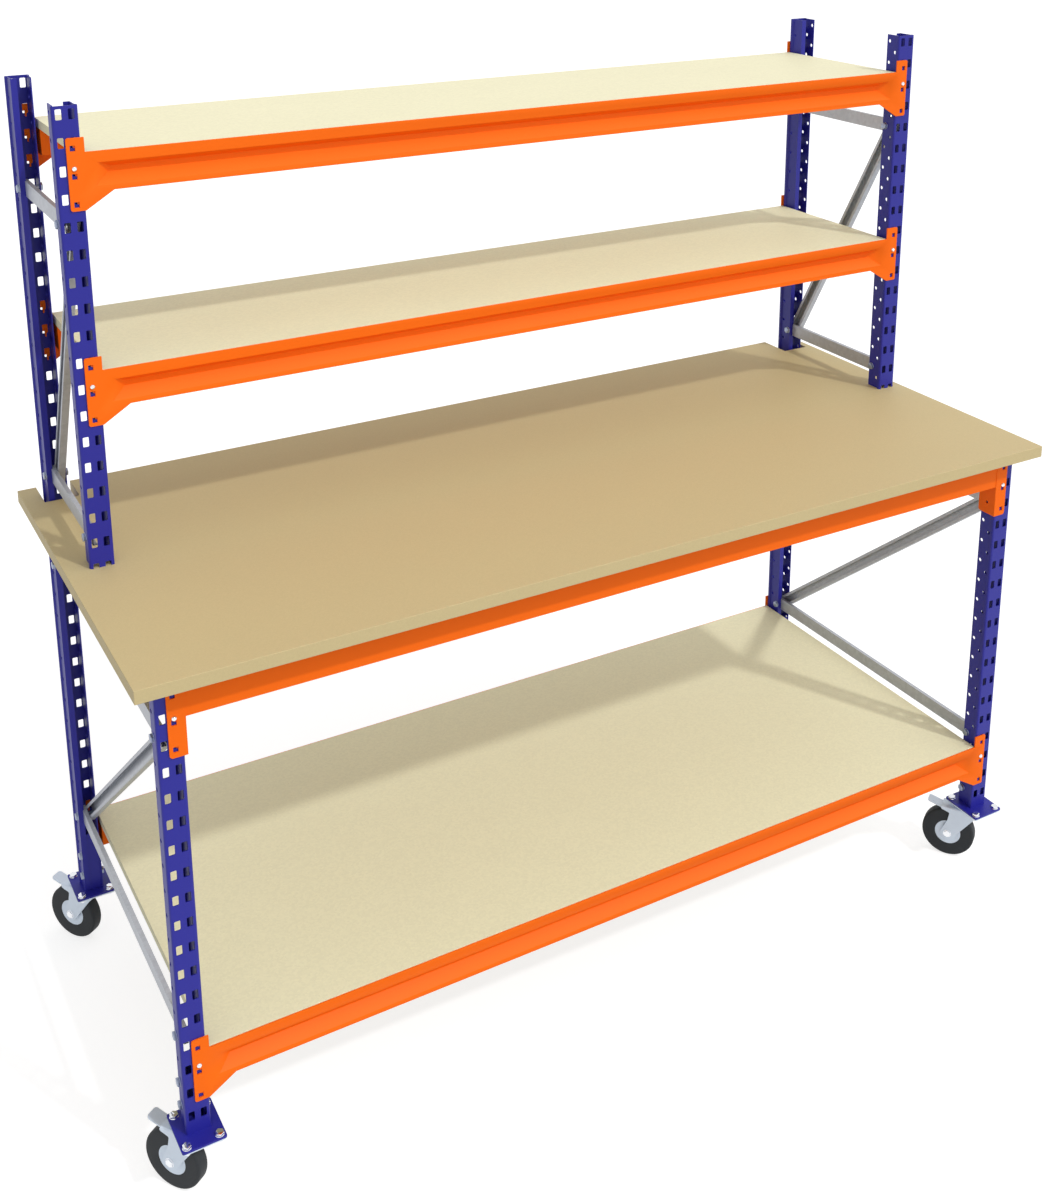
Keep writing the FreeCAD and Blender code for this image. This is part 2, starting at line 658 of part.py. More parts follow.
# ---- the whole table ----
def build():
    """Every node's shape, in the frame whose middle is between the four feet."""
    nodes = {}
    bolts = []
    plate_bolts = []
    mounts = []
    short = post(FOOT_TOP, SHORT_TOP, 0, SHORT_COUNT, FOOT_BOLT_COUNTS + LOWER_RAIL_COUNTS)
    tall = post(FOOT_TOP, TALL_TOP, 0, TALL_COUNT,
                FOOT_BOLT_COUNTS + LOWER_RAIL_COUNTS + UPPER_RAIL_COUNTS)
    shelf = post(WORKTOP_TOP, TALL_TOP, SHORT_COUNT, TALL_COUNT - SHORT_COUNT, UPPER_RAIL_COUNTS)
    foot_shape = foot()
    front_line = FRONT_FACE + BOLT_DEPTH
    back_line = BACK_FACE - BOLT_DEPTH
    shelf_line = SHELF_FACE + BOLT_DEPTH
    through = hex_bolt(2 * WALL_OUTER)
    through.rotate(vector(), vector(y=1), 90)
    plate_bolt = hex_bolt(FOOT_PLATE + CASTOR_PLATE)
    plate_bolt.rotate(vector(), vector(x=1), 180)

    def add_bolt(side, y, number):
        bolt = through.copy()
        bolt.translate(vector(side * POST_X - WALL_OUTER, y, row(number)))
        bolts.append(bolt)

    for name, side in SIDES.items():
        nodes[f"upright_front_{name}"] = place_post(short, side, FRONT_FACE, True)
        nodes[f"upright_back_{name}"] = place_post(tall, side, BACK_FACE, False)
        nodes[f"upright_shelf_{name}"] = place_post(shelf, side, SHELF_FACE, True)
        nodes[f"foot_front_{name}"] = place_post(foot_shape, side, FRONT_FACE, True)
        nodes[f"foot_back_{name}"] = place_post(foot_shape, side, BACK_FACE, False)
        frames = (("lower", front_line, LOWER_RAIL_COUNTS), ("upper", shelf_line, UPPER_RAIL_COUNTS))
        for frame, line, (low, high) in frames:
            for label, number in (("bottom", low), ("top", high)):
                nodes[f"{frame}_rail_{label}_{name}"] = place_strut(
                    side, (line, row(number)), (back_line, row(number)), -1)
                add_bolt(side, line, number)
                add_bolt(side, back_line, number)
            nodes[f"{frame}_diagonal_{name}"] = place_strut(
                side, (line, row(high)), (back_line, row(low)), 1)
        for end, face, inwards in (("front", FRONT_FACE, 1), ("back", BACK_FACE, -1)):
            for number in FOOT_BOLT_COUNTS:
                add_bolt(side, face + inwards * BOLT_DEPTH, number)
            for x, y in plate_bolt_places():
                bolt = plate_bolt.copy()
                bolt.translate(vector(side * POST_X + x, face + inwards * y, FOOT_TOP))
                plate_bolts.append(bolt)
            centre = vector(side * POST_X, face + inwards * FOOT_CENTRE)
            mount = castor_mount()
            mount.translate(centre)
            mounts.append(mount)
            moving = (("fork", fork()), ("axle", axle()), ("tyre", tyre()), ("rim", rim()),
                      ("brake_pedal", pedal()))
            for label, shape in moving:
                shape.rotate(vector(), vector(z=1), CASTOR_HEADING)
                shape.translate(centre)
                nodes[f"castor_{label}_{end}_{name}"] = shape

    levels = zip(("bottom", "middle", "top"), SHELF_COUNTS)
    for level, top_row in levels:
        front_face = FRONT_FACE if level == "bottom" else SHELF_FACE
        beam = shelf_beam(top_row)
        front = beam.copy()
        front.translate(vector(y=front_face))
        back = mirrored_y(beam)
        back.translate(vector(y=BACK_FACE))
        nodes[f"beam_{level}_front"] = front
        nodes[f"beam_{level}_back"] = back
        nodes[f"panel_{level}"] = shelf_panel(top_row, front_face, BACK_FACE)
    beam = worktop_beam()
    front = beam.copy()
    front.translate(vector(y=FRONT_FACE))
    back = mirrored_y(beam)
    back.translate(vector(y=BACK_FACE))
    nodes["beam_worktop_front"] = front
    nodes["beam_worktop_back"] = back
    nodes["worktop"] = worktop()
    nodes["frame_bolts"] = Part.makeCompound(bolts)
    nodes["castor_bolts"] = Part.makeCompound(plate_bolts)
    nodes["castor_plates"] = Part.makeCompound(mounts)
    return nodes


def centred(nodes):
    """Move the origin to the middle of the whole outline, at floor level."""
    bounds = Part.makeCompound(list(nodes.values())).BoundBox
    shift = vector(-(bounds.XMin + bounds.XMax) / 2, -(bounds.YMin + bounds.YMax) / 2)
    for shape in nodes.values():
        shape.translate(shift)
    return shift


def main():
    os.makedirs("parts", exist_ok=True)
    nodes = build()
    shift = centred(nodes)
    for name, shape in nodes.items():
        shape.exportStep(f"parts/{name}.step")
    print(f"{len(nodes)} parts, frame centre at {shift.x:.3f}, {shift.y:.3f}")


if __name__ == "__main__":
    main()
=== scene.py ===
import json
import math

import bmesh
import bpy
from bpy.props import FloatProperty, FloatVectorProperty, IntProperty, PointerProperty
from bpy.types import Operator, Panel, PropertyGroup
from mathutils import Matrix, Vector

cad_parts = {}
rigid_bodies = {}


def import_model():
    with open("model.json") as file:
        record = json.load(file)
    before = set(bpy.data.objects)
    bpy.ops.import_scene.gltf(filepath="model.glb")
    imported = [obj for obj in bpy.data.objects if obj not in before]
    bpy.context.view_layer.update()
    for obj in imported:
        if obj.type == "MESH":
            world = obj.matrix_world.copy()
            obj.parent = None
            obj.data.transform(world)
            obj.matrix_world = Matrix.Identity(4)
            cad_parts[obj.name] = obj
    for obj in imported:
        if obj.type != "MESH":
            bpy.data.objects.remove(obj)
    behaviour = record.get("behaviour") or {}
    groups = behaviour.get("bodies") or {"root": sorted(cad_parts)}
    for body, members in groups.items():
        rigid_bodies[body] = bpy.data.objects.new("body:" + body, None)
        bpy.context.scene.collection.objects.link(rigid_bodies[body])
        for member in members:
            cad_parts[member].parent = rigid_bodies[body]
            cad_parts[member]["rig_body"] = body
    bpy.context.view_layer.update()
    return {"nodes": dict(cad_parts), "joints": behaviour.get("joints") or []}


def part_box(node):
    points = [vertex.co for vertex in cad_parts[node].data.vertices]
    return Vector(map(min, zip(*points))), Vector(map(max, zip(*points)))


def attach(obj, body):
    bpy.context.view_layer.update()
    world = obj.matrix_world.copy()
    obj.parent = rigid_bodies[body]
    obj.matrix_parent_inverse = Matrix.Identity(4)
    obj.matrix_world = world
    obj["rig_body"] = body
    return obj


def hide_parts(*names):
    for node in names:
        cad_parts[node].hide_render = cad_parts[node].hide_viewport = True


bl_info = {
    "name": "Mobile Assembly Table",
    "version": (1, 0, 0),
    "blender": (4, 5, 0),
    "location": "View3D > Sidebar > Assembly Table",
    "description": "Finished pieces, materials and studio for a racking table on castors",
    "category": "Add Mesh",
}

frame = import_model()

NODES = frame["nodes"]
JOINTS = {joint["name"]: joint for joint in frame["joints"]}
SIDES = ("left", "right")
ENDS = ("front", "back")
CORNERS = [f"{end}_{side}" for end in ENDS for side in SIDES]
SHELVES = ("bottom", "middle", "top")
FACES_BACK = 1.0     # an upright whose open side looks towards +Y
FACES_FRONT = -1.0   # one whose open side looks towards -Y
ALONG_X = Vector((1.0, 0.0, 0.0))
SHARP = math.radians(32.0)   # edges sharper than this stay crisp


def mm(value):
    """Millimetres as metres."""
    return value / 1000.0


def linear(hex_colour):
    """An sRGB hex colour as linear red, green, blue and alpha."""
    channels = [int(hex_colour[place:place + 2], 16) / 255 for place in (1, 3, 5)]
    bent = [c / 12.92 if c <= 0.04045 else ((c + 0.055) / 1.055) ** 2.4 for c in channels]
    return (*bent, 1.0)


# ---------------------------------------------------------------- settings

class UprightSettings(PropertyGroup):
    sheet: FloatProperty(
        name="Sheet", description="Thickness of the roll-formed sheet",
        default=mm(2.0), unit="LENGTH")
    bend: FloatProperty(
        name="Bend", description="Outside radius of the face's folds",
        default=mm(4.0), unit="LENGTH")
    wall_step: FloatProperty(
        name="Wall step", description="How far each side wall steps in",
        default=mm(3.5), unit="LENGTH")
    step_start: FloatProperty(
        name="Step start", description="Where the side wall begins to step in, behind the face",
        default=mm(8.0), unit="LENGTH")
    step_run: FloatProperty(
        name="Step run", description="Length of the sloping part of the step",
        default=mm(3.0), unit="LENGTH")
    lip: FloatProperty(
        name="Lip", description="Width of the lip that one side wall has at the open side",
        default=mm(12.0), unit="LENGTH")
    hole_pitch: FloatProperty(
        name="Hole pitch", description="Distance between two rows of holes",
        default=mm(50.0), unit="LENGTH")
    hole_width: FloatProperty(
        name="Hole width", description="Width of a slot for a beam hook",
        default=mm(11.0), unit="LENGTH")
    hole_height: FloatProperty(
        name="Hole height", description="Height of a slot for a beam hook",
        default=mm(19.0), unit="LENGTH")
    hole_spread: FloatProperty(
        name="Hole spread", description="Distance between the two columns of slots",
        default=mm(22.0), unit="LENGTH")
    hole_corner: FloatProperty(
        name="Hole corner", description="Corner radius of a slot",
        default=mm(2.0), unit="LENGTH")
    first_hole: FloatProperty(
        name="First hole", description="First hole row above the foot plate",
        default=mm(37.0), unit="LENGTH")
    bolt_depth: FloatProperty(
        name="Bolt line", description="Bolt holes in the side walls, behind the face",
        default=mm(36.0), unit="LENGTH")
    spare_depth: FloatProperty(
        name="Second hole line", description="The other column of round holes, behind the face",
        default=mm(17.0), unit="LENGTH")
    bolt_hole: FloatProperty(
        name="Bolt hole", description="Radius of a round hole in a side wall",
        default=mm(4.2), unit="LENGTH")
    brace_sheet: FloatProperty(
        name="Brace sheet", description="Thickness of a diagonal's sheet",
        default=mm(1.5), unit="LENGTH")
    brace_web: FloatProperty(
        name="Brace web", description="How much further out the web of a diagonal lies",
        default=mm(6.0), unit="LENGTH")
    brace_lip: FloatProperty(
        name="Brace lip", description="Width of the lips at the open side of a diagonal",
        default=mm(5.5), unit="LENGTH")
    foot_rise: FloatProperty(
        name="Foot rise", description="How much further up a foot's channel stands in the upright",
        default=mm(45.0), unit="LENGTH")
    foot_corner: FloatProperty(
        name="Foot corner", description="Rounding of a foot plate's corners",
        default=mm(4.0), unit="LENGTH")
    colour: FloatVectorProperty(
        name="Colour", description="Powder coat of the uprights and feet",
        default=linear("#222292"), size=4, subtype="COLOR", min=0.0, max=1.0)


class BeamSettings(PropertyGroup):
    edge: FloatProperty(
        name="Edge", description="Rounding of a folded edge",
        default=mm(1.0), unit="LENGTH")
    corner: FloatProperty(
        name="Corner", description="Rounding of an end plate's corners",
        default=mm(4.0), unit="LENGTH")
    recess_depth: FloatProperty(
        name="Recess depth", description="Depth of the recess pressed into a shelf beam's face",
        default=mm(19.0), unit="LENGTH")
    back_lip_drop: FloatProperty(
        name="Back lip drop", description="How far a back beam's lip lies below its panel",
        default=mm(3.0), unit="LENGTH")
    pin_radius: FloatProperty(
        name="Lock pin", description="Radius of a lock pin's head",
        default=mm(5.0), unit="LENGTH")
    pin_height: FloatProperty(
        name="Pin height", description="How far a lock pin's head stands out",
        default=mm(4.5), unit="LENGTH")
    pin_inset: FloatProperty(
        name="Pin inset", description="Lock pin inwards of the end plate's outer edge",
        default=mm(11.5), unit="LENGTH")
    shelf_pin_drop: FloatProperty(
        name="Shelf pin drop", description="Lock pin under the top of a shelf beam's end plate",
        default=mm(54.5), unit="LENGTH")
    box_pin_drop: FloatProperty(
        name="Box pin drop", description="Lock pin under the top of a worktop beam's end plate",
        default=mm(76.3), unit="LENGTH")
    side_hole: FloatProperty(
        name="Side hole", description="Radius of a hole in a worktop beam's side plate",
        default=mm(3.6), unit="LENGTH")
    colour: FloatVectorProperty(
        name="Colour", description="Powder coat of the beams",
        default=linear("#ff6e0e"), size=4, subtype="COLOR", min=0.0, max=1.0)


class PanelSettings(PropertyGroup):
    edge: FloatProperty(
        name="Edge", description="Rounding of a sawn edge",
        default=mm(0.8), unit="LENGTH")
    worktop_colour: FloatVectorProperty(
        name="Worktop colour", description="Fibreboard of the worktop",
        default=linear("#c7b586"), size=4, subtype="COLOR", min=0.0, max=1.0)
    shelf_colour: FloatVectorProperty(
        name="Shelf colour", description="Chipboard of the shelves",
        default=linear("#ece6c2"), size=4, subtype="COLOR", min=0.0, max=1.0)


class CastorSettings(PropertyGroup):
    steps: IntProperty(
        name="Steps", description="Facets round a turned piece", default=72, min=16, max=256)
    shoulder: FloatProperty(
        name="Shoulder", description="Rounding of the tyre's two shoulders",
        default=mm(5.5), unit="LENGTH")
    rim_radius: FloatProperty(
        name="Rim radius", description="Radius of the metal disc in the tyre",
        default=mm(30.7), unit="LENGTH")
    dish: FloatProperty(
        name="Dish", description="How far the disc is pressed in between its edge and its hub",
        default=mm(1.2), unit="LENGTH")
    fold: FloatProperty(
        name="Fold", description="Outside radius of the folds between crown and legs",
        default=mm(4.0), unit="LENGTH")
    leg_gap: FloatProperty(
        name="Leg gap", description="From the wheel's mid-plane to a leg",
        default=mm(16.5), unit="LENGTH")
    leg_sheet: FloatProperty(
        name="Leg sheet", description="Thickness of the fork's sheet",
        default=mm(2.5), unit="LENGTH")
    plate: FloatProperty(
        name="Top plate", description="Thickness of the top plate",
        default=mm(3.5), unit="LENGTH")
    race_radius: FloatProperty(
        name="Race radius", description="Radius of the swivel race",
        default=mm(26.0), unit="LENGTH")
    pedal_corner: FloatProperty(
        name="Pedal corner", description="Rounding of the pedal's tip",
        default=mm(6.0), unit="LENGTH")
    rubber: FloatVectorProperty(
        name="Tyre colour", description="Rubber of the tyres",
        default=linear("#34373a"), size=4, subtype="COLOR", min=0.0, max=1.0)
    zinc: FloatVectorProperty(
        name="Zinc colour", description="Bright zinc plating of the castors",
        default=linear("#dbe7f5"), size=4, subtype="COLOR", min=0.0, max=1.0)


class FastenerSettings(PropertyGroup):
    flats: FloatProperty(
        name="Flats", description="Width of a bolt head across its flats",
        default=mm(14.5), unit="LENGTH")
    head: FloatProperty(
        name="Head height", description="Height of a bolt head",
        default=mm(5.3), unit="LENGTH")
    nut: FloatProperty(
        name="Nut height", description="Height of a thin nut",
        default=mm(4.0), unit="LENGTH")
    shank: FloatProperty(
        name="Shank", description="Radius of a bolt's shank",
        default=mm(4.0), unit="LENGTH")
    flange: FloatProperty(
        name="Flange", description="Radius of the flange under a head or nut",
        default=mm(8.6), unit="LENGTH")
    flange_height: FloatProperty(
        name="Flange height", description="Height of the flange under a head or nut",
        default=mm(0.8), unit="LENGTH")


class StageSettings(PropertyGroup):
    daylight: FloatProperty(
        name="Daylight", description="Mean strength of the light from all round",
        default=0.83, min=0.0)
    daylight_tilt: FloatVectorProperty(
        name="Daylight tilt", description="How much stronger it is from the right, back and top",
        default=(0.34, -0.35, 0.0), size=3, subtype="DIRECTION")
    lamp: FloatProperty(
        name="Lamp", description="Strength of the far lamp at the front right",
        default=1.12, min=0.0)
    lamp_spread: FloatProperty(
        name="Lamp spread", description="How wide the far lamp looks, which softens its shadows",
        default=math.radians(2.5), subtype="ANGLE")
    floor_glow: FloatProperty(
        name="Floor glow", description="Whiteness added to the floor where it is looked at",
        default=0.72, min=0.0)


SETTINGS = {
    "table_uprights": UprightSettings,
    "table_beams": BeamSettings,
    "table_panels": PanelSettings,
    "table_castors": CastorSettings,
    "table_fasteners": FastenerSettings,
    "table_stage": StageSettings,
}


# ---------------------------------------------------------------- materials

def add_node(tree, kind, settings=None, values=None, links=None):
    """Add one shader node with its settings, its socket values and the links into it."""
    node = tree.nodes.new(kind)
    for name, value in (settings or {}).items():
        setattr(node, name, value)
    for socket, value in (values or {}).items():
        node.inputs[socket].default_value = value
    for socket, source in (links or {}).items():
        tree.links.new(source, node.inputs[socket])
    return node


def per_metre(size_mm):
    """Pattern scale for a feature of this size, on coordinates in metres."""
    return 1000.0 / size_mm


def shade(colour, factor):
    """A colour made lighter or darker."""
    return (*[min(1.0, channel * factor) for channel in colour[:3]], 1.0)


def start_material(name):
    """An empty material, its node tree and its object coordinates."""
    material = bpy.data.materials.new(name)
    material.use_nodes = True
    tree = material.node_tree
    tree.nodes.clear()
    return material, tree, add_node(tree, "ShaderNodeTexCoord").outputs["Object"]


def end_material(tree, values, links):
    """The shader with its plain values and its patterns, and the output."""
    shader = add_node(tree, "ShaderNodeBsdfPrincipled", None, values, links)
    add_node(tree, "ShaderNodeOutputMaterial", links={"Surface": shader.outputs["BSDF"]})


def end_patterned(tree, values, colours, colour_by, roughness, roughness_by, relief=None):
    """The shader with two colours and two roughnesses blended by patterns.

    A relief is its pattern, its strength and its depth in millimetres.
    """
    tint = add_node(tree, "ShaderNodeMix", {"data_type": "RGBA"},
                    {"A": colours[0], "B": colours[1]}, {"Factor": colour_by})
    rough = add_node(tree, "ShaderNodeMapRange", None,
                     {"To Min": roughness[0], "To Max": roughness[1]}, {"Value": roughness_by})
    links = {"Base Color": tint.outputs["Result"], "Roughness": rough.outputs["Result"]}
    if relief:
        height, strength, depth = relief
        bump = add_node(tree, "ShaderNodeBump", None,
                        {"Strength": strength, "Distance": mm(depth)}, {"Height": height})
        links["Normal"] = bump.outputs["Normal"]
    end_material(tree, values, links)


def polyester_powder_coat(name, colour, roughness, shine):
    """Baked polyester powder on steel: even colour, hard gloss, faint orange peel.

    The peel is about 3 mm across on the real sheet and is drawn at 6 mm so that it shows.
    """
    _, tree, place = start_material(name)
    drift = add_node(tree, "ShaderNodeTexNoise", None,
                     {"Scale": per_metre(220.0), "Detail": 2.0}, {"Vector": place})
    peel = add_node(tree, "ShaderNodeTexNoise", None,
                    {"Scale": per_metre(6.0), "Detail": 1.0}, {"Vector": place})
    end_patterned(tree, {"Specular IOR Level": shine},
                  (shade(colour, 0.96), shade(colour, 1.04)), drift.outputs["Fac"],
                  (roughness - 0.03, roughness + 0.03), drift.outputs["Fac"],
                  (peel.outputs["Fac"], 0.1, 0.08))


def galvanised_steel(name):
    """Hot-dip galvanised strip: even pale grey metal, with faint crystals about 9 mm across."""
    _, tree, place = start_material(name)
    spangle = add_node(tree, "ShaderNodeTexVoronoi", None,
                       {"Scale": per_metre(9.0)}, {"Vector": place})
    tone = add_node(tree, "ShaderNodeSeparateColor", None, None,
                    {"Color": spangle.outputs["Color"]})
    stain = add_node(tree, "ShaderNodeTexNoise", None,
                     {"Scale": per_metre(60.0), "Detail": 4.0}, {"Vector": place})
    end_patterned(tree, {"Metallic": 0.35}, (linear("#b2b6be"), linear("#bcc0c8")),
                  tone.outputs["Red"], (0.36, 0.46), stain.outputs["Fac"])


def bright_zinc_plate(name, colour, metallic, roughness):
    """Electroplated zinc with a clear passivate: pale bluish metal, faintly cloudy."""
    _, tree, place = start_material(name)
    cloud = add_node(tree, "ShaderNodeTexNoise", None,
                     {"Scale": per_metre(14.0), "Detail": 3.0}, {"Vector": place})
    end_patterned(tree, {"Metallic": metallic},
                  (shade(colour, 0.94), shade(colour, 1.04)), cloud.outputs["Fac"],
                  (roughness * 0.8, roughness * 1.2), cloud.outputs["Fac"])


def moulded_rubber(name, colour):
    """Vulcanised rubber: charcoal, matt, with a fine grain from the mould drawn at 2 mm."""
    _, tree, place = start_material(name)
    grain = add_node(tree, "ShaderNodeTexNoise", None,
                     {"Scale": per_metre(2.0), "Detail": 3.0}, {"Vector": place})
    scuff = add_node(tree, "ShaderNodeTexNoise", None,
                     {"Scale": per_metre(25.0), "Detail": 5.0}, {"Vector": place})
    end_patterned(tree, {"Specular IOR Level": 0.2},
                  (shade(colour, 0.88), shade(colour, 1.12)), scuff.outputs["Fac"],
                  (0.5, 0.68), scuff.outputs["Fac"], (grain.outputs["Fac"], 0.2, 0.1))


def sanded_board(name, colour, chip_mm, contrast):
    """Pressed wood board: matt, with pale and dark chips of the given size, drawn softly."""
    _, tree, place = start_material(name)
    chips = add_node(tree, "ShaderNodeTexVoronoi", None,
                     {"Scale": per_metre(chip_mm)}, {"Vector": place})
    tone = add_node(tree, "ShaderNodeSeparateColor", None, None,
                    {"Color": chips.outputs["Color"]})
    cloud = add_node(tree, "ShaderNodeTexNoise", None,
                     {"Scale": per_metre(160.0), "Detail": 3.0}, {"Vector": place})
    fibre = add_node(tree, "ShaderNodeTexNoise", None,
                     {"Scale": per_metre(chip_mm * 0.7), "Detail": 3.0}, {"Vector": place})
    blend = add_node(tree, "ShaderNodeMix", {"data_type": "FLOAT"}, {"Factor": 0.35},
                     {"A": tone.outputs["Red"], "B": cloud.outputs["Fac"]})
    end_patterned(tree, {}, (shade(colour, 1.0 - contrast), shade(colour, 1.0 + contrast)),
                  blend.outputs["Result"], (0.5, 0.68), fibre.outputs["Fac"],
                  (fibre.outputs["Fac"], 0.2, 0.1))


def finishes():
    """Every material, made once and shared by name."""
    if "Polyester powder coat blue" in bpy.data.materials:
        return bpy.data.materials
    scene = bpy.context.scene
    panels = scene.table_panels
    castors = scene.table_castors
    polyester_powder_coat("Polyester powder coat blue", tuple(scene.table_uprights.colour),
                          roughness=0.45, shine=0.4)
    polyester_powder_coat("Polyester powder coat orange", tuple(scene.table_beams.colour),
                          roughness=0.5, shine=0.15)
    galvanised_steel("Galvanised steel")
    bright_zinc_plate("Zinc plated pressing", tuple(castors.zinc), metallic=0.25, roughness=0.4)
    bright_zinc_plate("Passivated zinc fastener", linear("#98a2b8"), metallic=0.7, roughness=0.35)
    bright_zinc_plate("Zinc plated fastener", linear("#eceef2"), metallic=1.0, roughness=0.1)
    moulded_rubber("Moulded rubber", tuple(castors.rubber))
    sanded_board("Sanded fibreboard", tuple(panels.worktop_colour), chip_mm=2.2, contrast=0.04)
    sanded_board("Sanded chipboard", tuple(panels.shelf_colour), chip_mm=4.5, contrast=0.05)
    return bpy.data.materials


# ---------------------------------------------------------------- making pieces

def mesh_from(bm, name):
    """A mesh of the bmesh, which is freed."""
    mesh = bpy.data.meshes.new(name)
    bm.to_mesh(mesh)
    bm.free()
    return mesh


def add_object(name, data):
    """A new object in the scene that holds the data."""
    item = bpy.data.objects.new(name, data)
    bpy.context.scene.collection.objects.link(item)
    return item


def finish_piece(node, ending, bm, material, bevel=0.0, stands_for_node=True):
    """Turn a bmesh into a shown piece that rides on its node's body and stands for the node."""
    bmesh.ops.recalc_face_normals(bm, faces=bm.faces)
    mesh = mesh_from(bm, f"{node}.{ending}")
    mesh.materials.append(finishes()[material])
    mesh.polygons.foreach_set("use_smooth", [True] * len(mesh.polygons))
    mesh.set_sharp_from_angle(angle=SHARP)
    piece = add_object(mesh.name, mesh)
    if bevel:
        rounding = piece.modifiers.new("Rounded edges", "BEVEL")
        rounding.width = bevel
        rounding.segments = 3
        rounding.limit_method = "ANGLE"
        rounding.angle_limit = math.radians(40.0)
        rounding.harden_normals = True
    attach(piece, NODES[node]["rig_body"])
    if stands_for_node:
        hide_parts(node)


def merged_copy(node):
    """A bmesh of a CAD node with its loose triangles joined into flat faces."""
    bm = bmesh.new()
    bm.from_mesh(NODES[node].data)
    bmesh.ops.remove_doubles(bm, verts=bm.verts, dist=mm(0.01))
    bmesh.ops.dissolve_limit(bm, angle_limit=math.radians(0.5), verts=bm.verts, edges=bm.edges)
    return bm


def soften(node, material, bevel):
    """The CAD node's own shape with its edges rounded."""
    finish_piece(node, "finished", merged_copy(node), material, bevel)


def edges_along(bm, axis, test):
    """The edges parallel to an axis (0, 1 or 2) whose middle passes the test."""
    picked = []
    for edge in bm.edges:
        run = edge.verts[1].co - edge.verts[0].co
        if abs(run[axis]) > 0.999 * run.length and test((edge.verts[0].co + edge.verts[1].co) / 2):
            picked.append(edge)
    return picked


def round_off(bm, edges, radius, segments=5):
    """Round the given edges."""
    bmesh.ops.bevel(bm, geom=edges, offset=radius, offset_type="OFFSET", affect="EDGES",
                    segments=segments, profile=0.5, material=-1)


def near(value, *targets):
    """Whether a coordinate is one of the targets, to a tenth of a millimetre."""
    return any(abs(value - target) < mm(0.1) for target in targets)


def turned(profile, steps):
    """A round piece about the X axis, from points (along the axis, radius)."""
    bm = bmesh.new()
    verts = [bm.verts.new((along, 0.0, radius)) for along, radius in profile]
    edges = [bm.edges.new(pair) for pair in zip(verts, verts[1:] + verts[:1])
             if pair[0].co.z + pair[1].co.z > 0]
    bmesh.ops.spin(bm, geom=verts + edges, cent=(0.0, 0.0, 0.0), axis=(1.0, 0.0, 0.0),
                   angle=2 * math.pi, steps=steps, use_merge=True, use_duplicate=False)
    bmesh.ops.remove_doubles(bm, verts=bm.verts, dist=mm(0.01))
    return bm


def quarter_round(centre, radius, start, steps=6):
    """Points of a quarter circle from the start angle in degrees, for a turned piece."""
    angles = [math.radians(start + 90.0 * step / steps) for step in range(steps + 1)]
    return [(centre[0] + radius * math.cos(angle), centre[1] + radius * math.sin(angle))
            for angle in angles]


def placed(bm, place):
    """The bmesh moved to a place."""
    bmesh.ops.transform(bm, matrix=place, verts=bm.verts)
    return bm


def join_into(target, source, place):
    """Add one bmesh to another at a place, and free it."""
    mesh = mesh_from(placed(source, place), "joined")
    target.from_mesh(mesh)
    bpy.data.meshes.remove(mesh)


def add_block(bm, low, high):
    """A block between two corners."""
    made = bmesh.ops.create_cube(bm, size=1.0)["verts"]
    size = high - low
    bmesh.ops.scale(bm, verts=made, vec=size)
    bmesh.ops.translate(bm, verts=made, vec=low + size / 2)
    return made


def add_rod(bm, centre, direction, radius, length, segments=20, top_radius=None):
    """A round bar or cone whose middle is at the centre."""
    turn = direction.to_track_quat("Z", "Y").to_matrix().to_4x4()
    made = bmesh.ops.create_cone(
        bm, cap_ends=True, segments=segments, radius1=radius,
        radius2=radius if top_radius is None else top_radius, depth=length,
        matrix=Matrix.Translation(centre) @ turn)
    return made["verts"]


def edges_of(verts):
    """The edges at the given verts, each once and in a steady order."""
    return list(dict.fromkeys(edge for vert in verts for edge in vert.link_edges))


def cut_with(bm, cutters):
    """Take the cutters' closed shapes away from the piece."""
    blank = add_object("blank", mesh_from(bm, "blank"))
    tool = add_object("cutters", mesh_from(cutters, "cutters"))
    cut = blank.modifiers.new("Punched holes", "BOOLEAN")
    cut.operation = "DIFFERENCE"
    cut.solver = "EXACT"
    cut.object = tool
    done = bmesh.new()
    done.from_mesh(blank.evaluated_get(bpy.context.evaluated_depsgraph_get()).data)
    for item in (blank, tool):
        mesh = item.data
        bpy.data.objects.remove(item)
        bpy.data.meshes.remove(mesh)
    return done


# ---------------------------------------------------------------- uprights

def fold_profile(sizes, low, high):
    """The upright's section as a strip of sheet, with its face at y = 0 and its lip at +X."""
    bm = bmesh.new()
    face = (high.x - low.x) / 2
    depth = high.y - low.y
    wall = face - sizes.wall_step
    half = [(wall, depth), (wall, sizes.step_start + sizes.step_run), (face, sizes.step_start),
            (face, 0.0)]
    path = [(wall - sizes.lip, depth)] + half + [(-x, y) for x, y in reversed(half)]
    verts = [bm.verts.new((x, y, 0.0)) for x, y in path]
    edges = [bm.edges.new(pair) for pair in zip(verts, verts[1:])]
    walls = bmesh.ops.extrude_edge_only(bm, edges=edges)["geom"]
    raised = [item for item in walls if isinstance(item, bmesh.types.BMVert)]
    bmesh.ops.translate(bm, verts=raised, vec=(0.0, 0.0, high.z - low.z))
    bends = [edge for edge in bm.edges if len(edge.link_faces) == 2]
    corners = [edge for edge in bends if edge.verts[0].co.y < sizes.sheet]
    round_off(bm, corners, sizes.bend, 6)
    bmesh.ops.recalc_face_normals(bm, faces=bm.faces)
    front = min(bm.faces, key=lambda item: item.calc_center_median().y)
    if front.normal.y > 0:
        bmesh.ops.reverse_faces(bm, faces=bm.faces)
    bmesh.ops.solidify(bm, geom=bm.faces, thickness=sizes.sheet)
    return bm


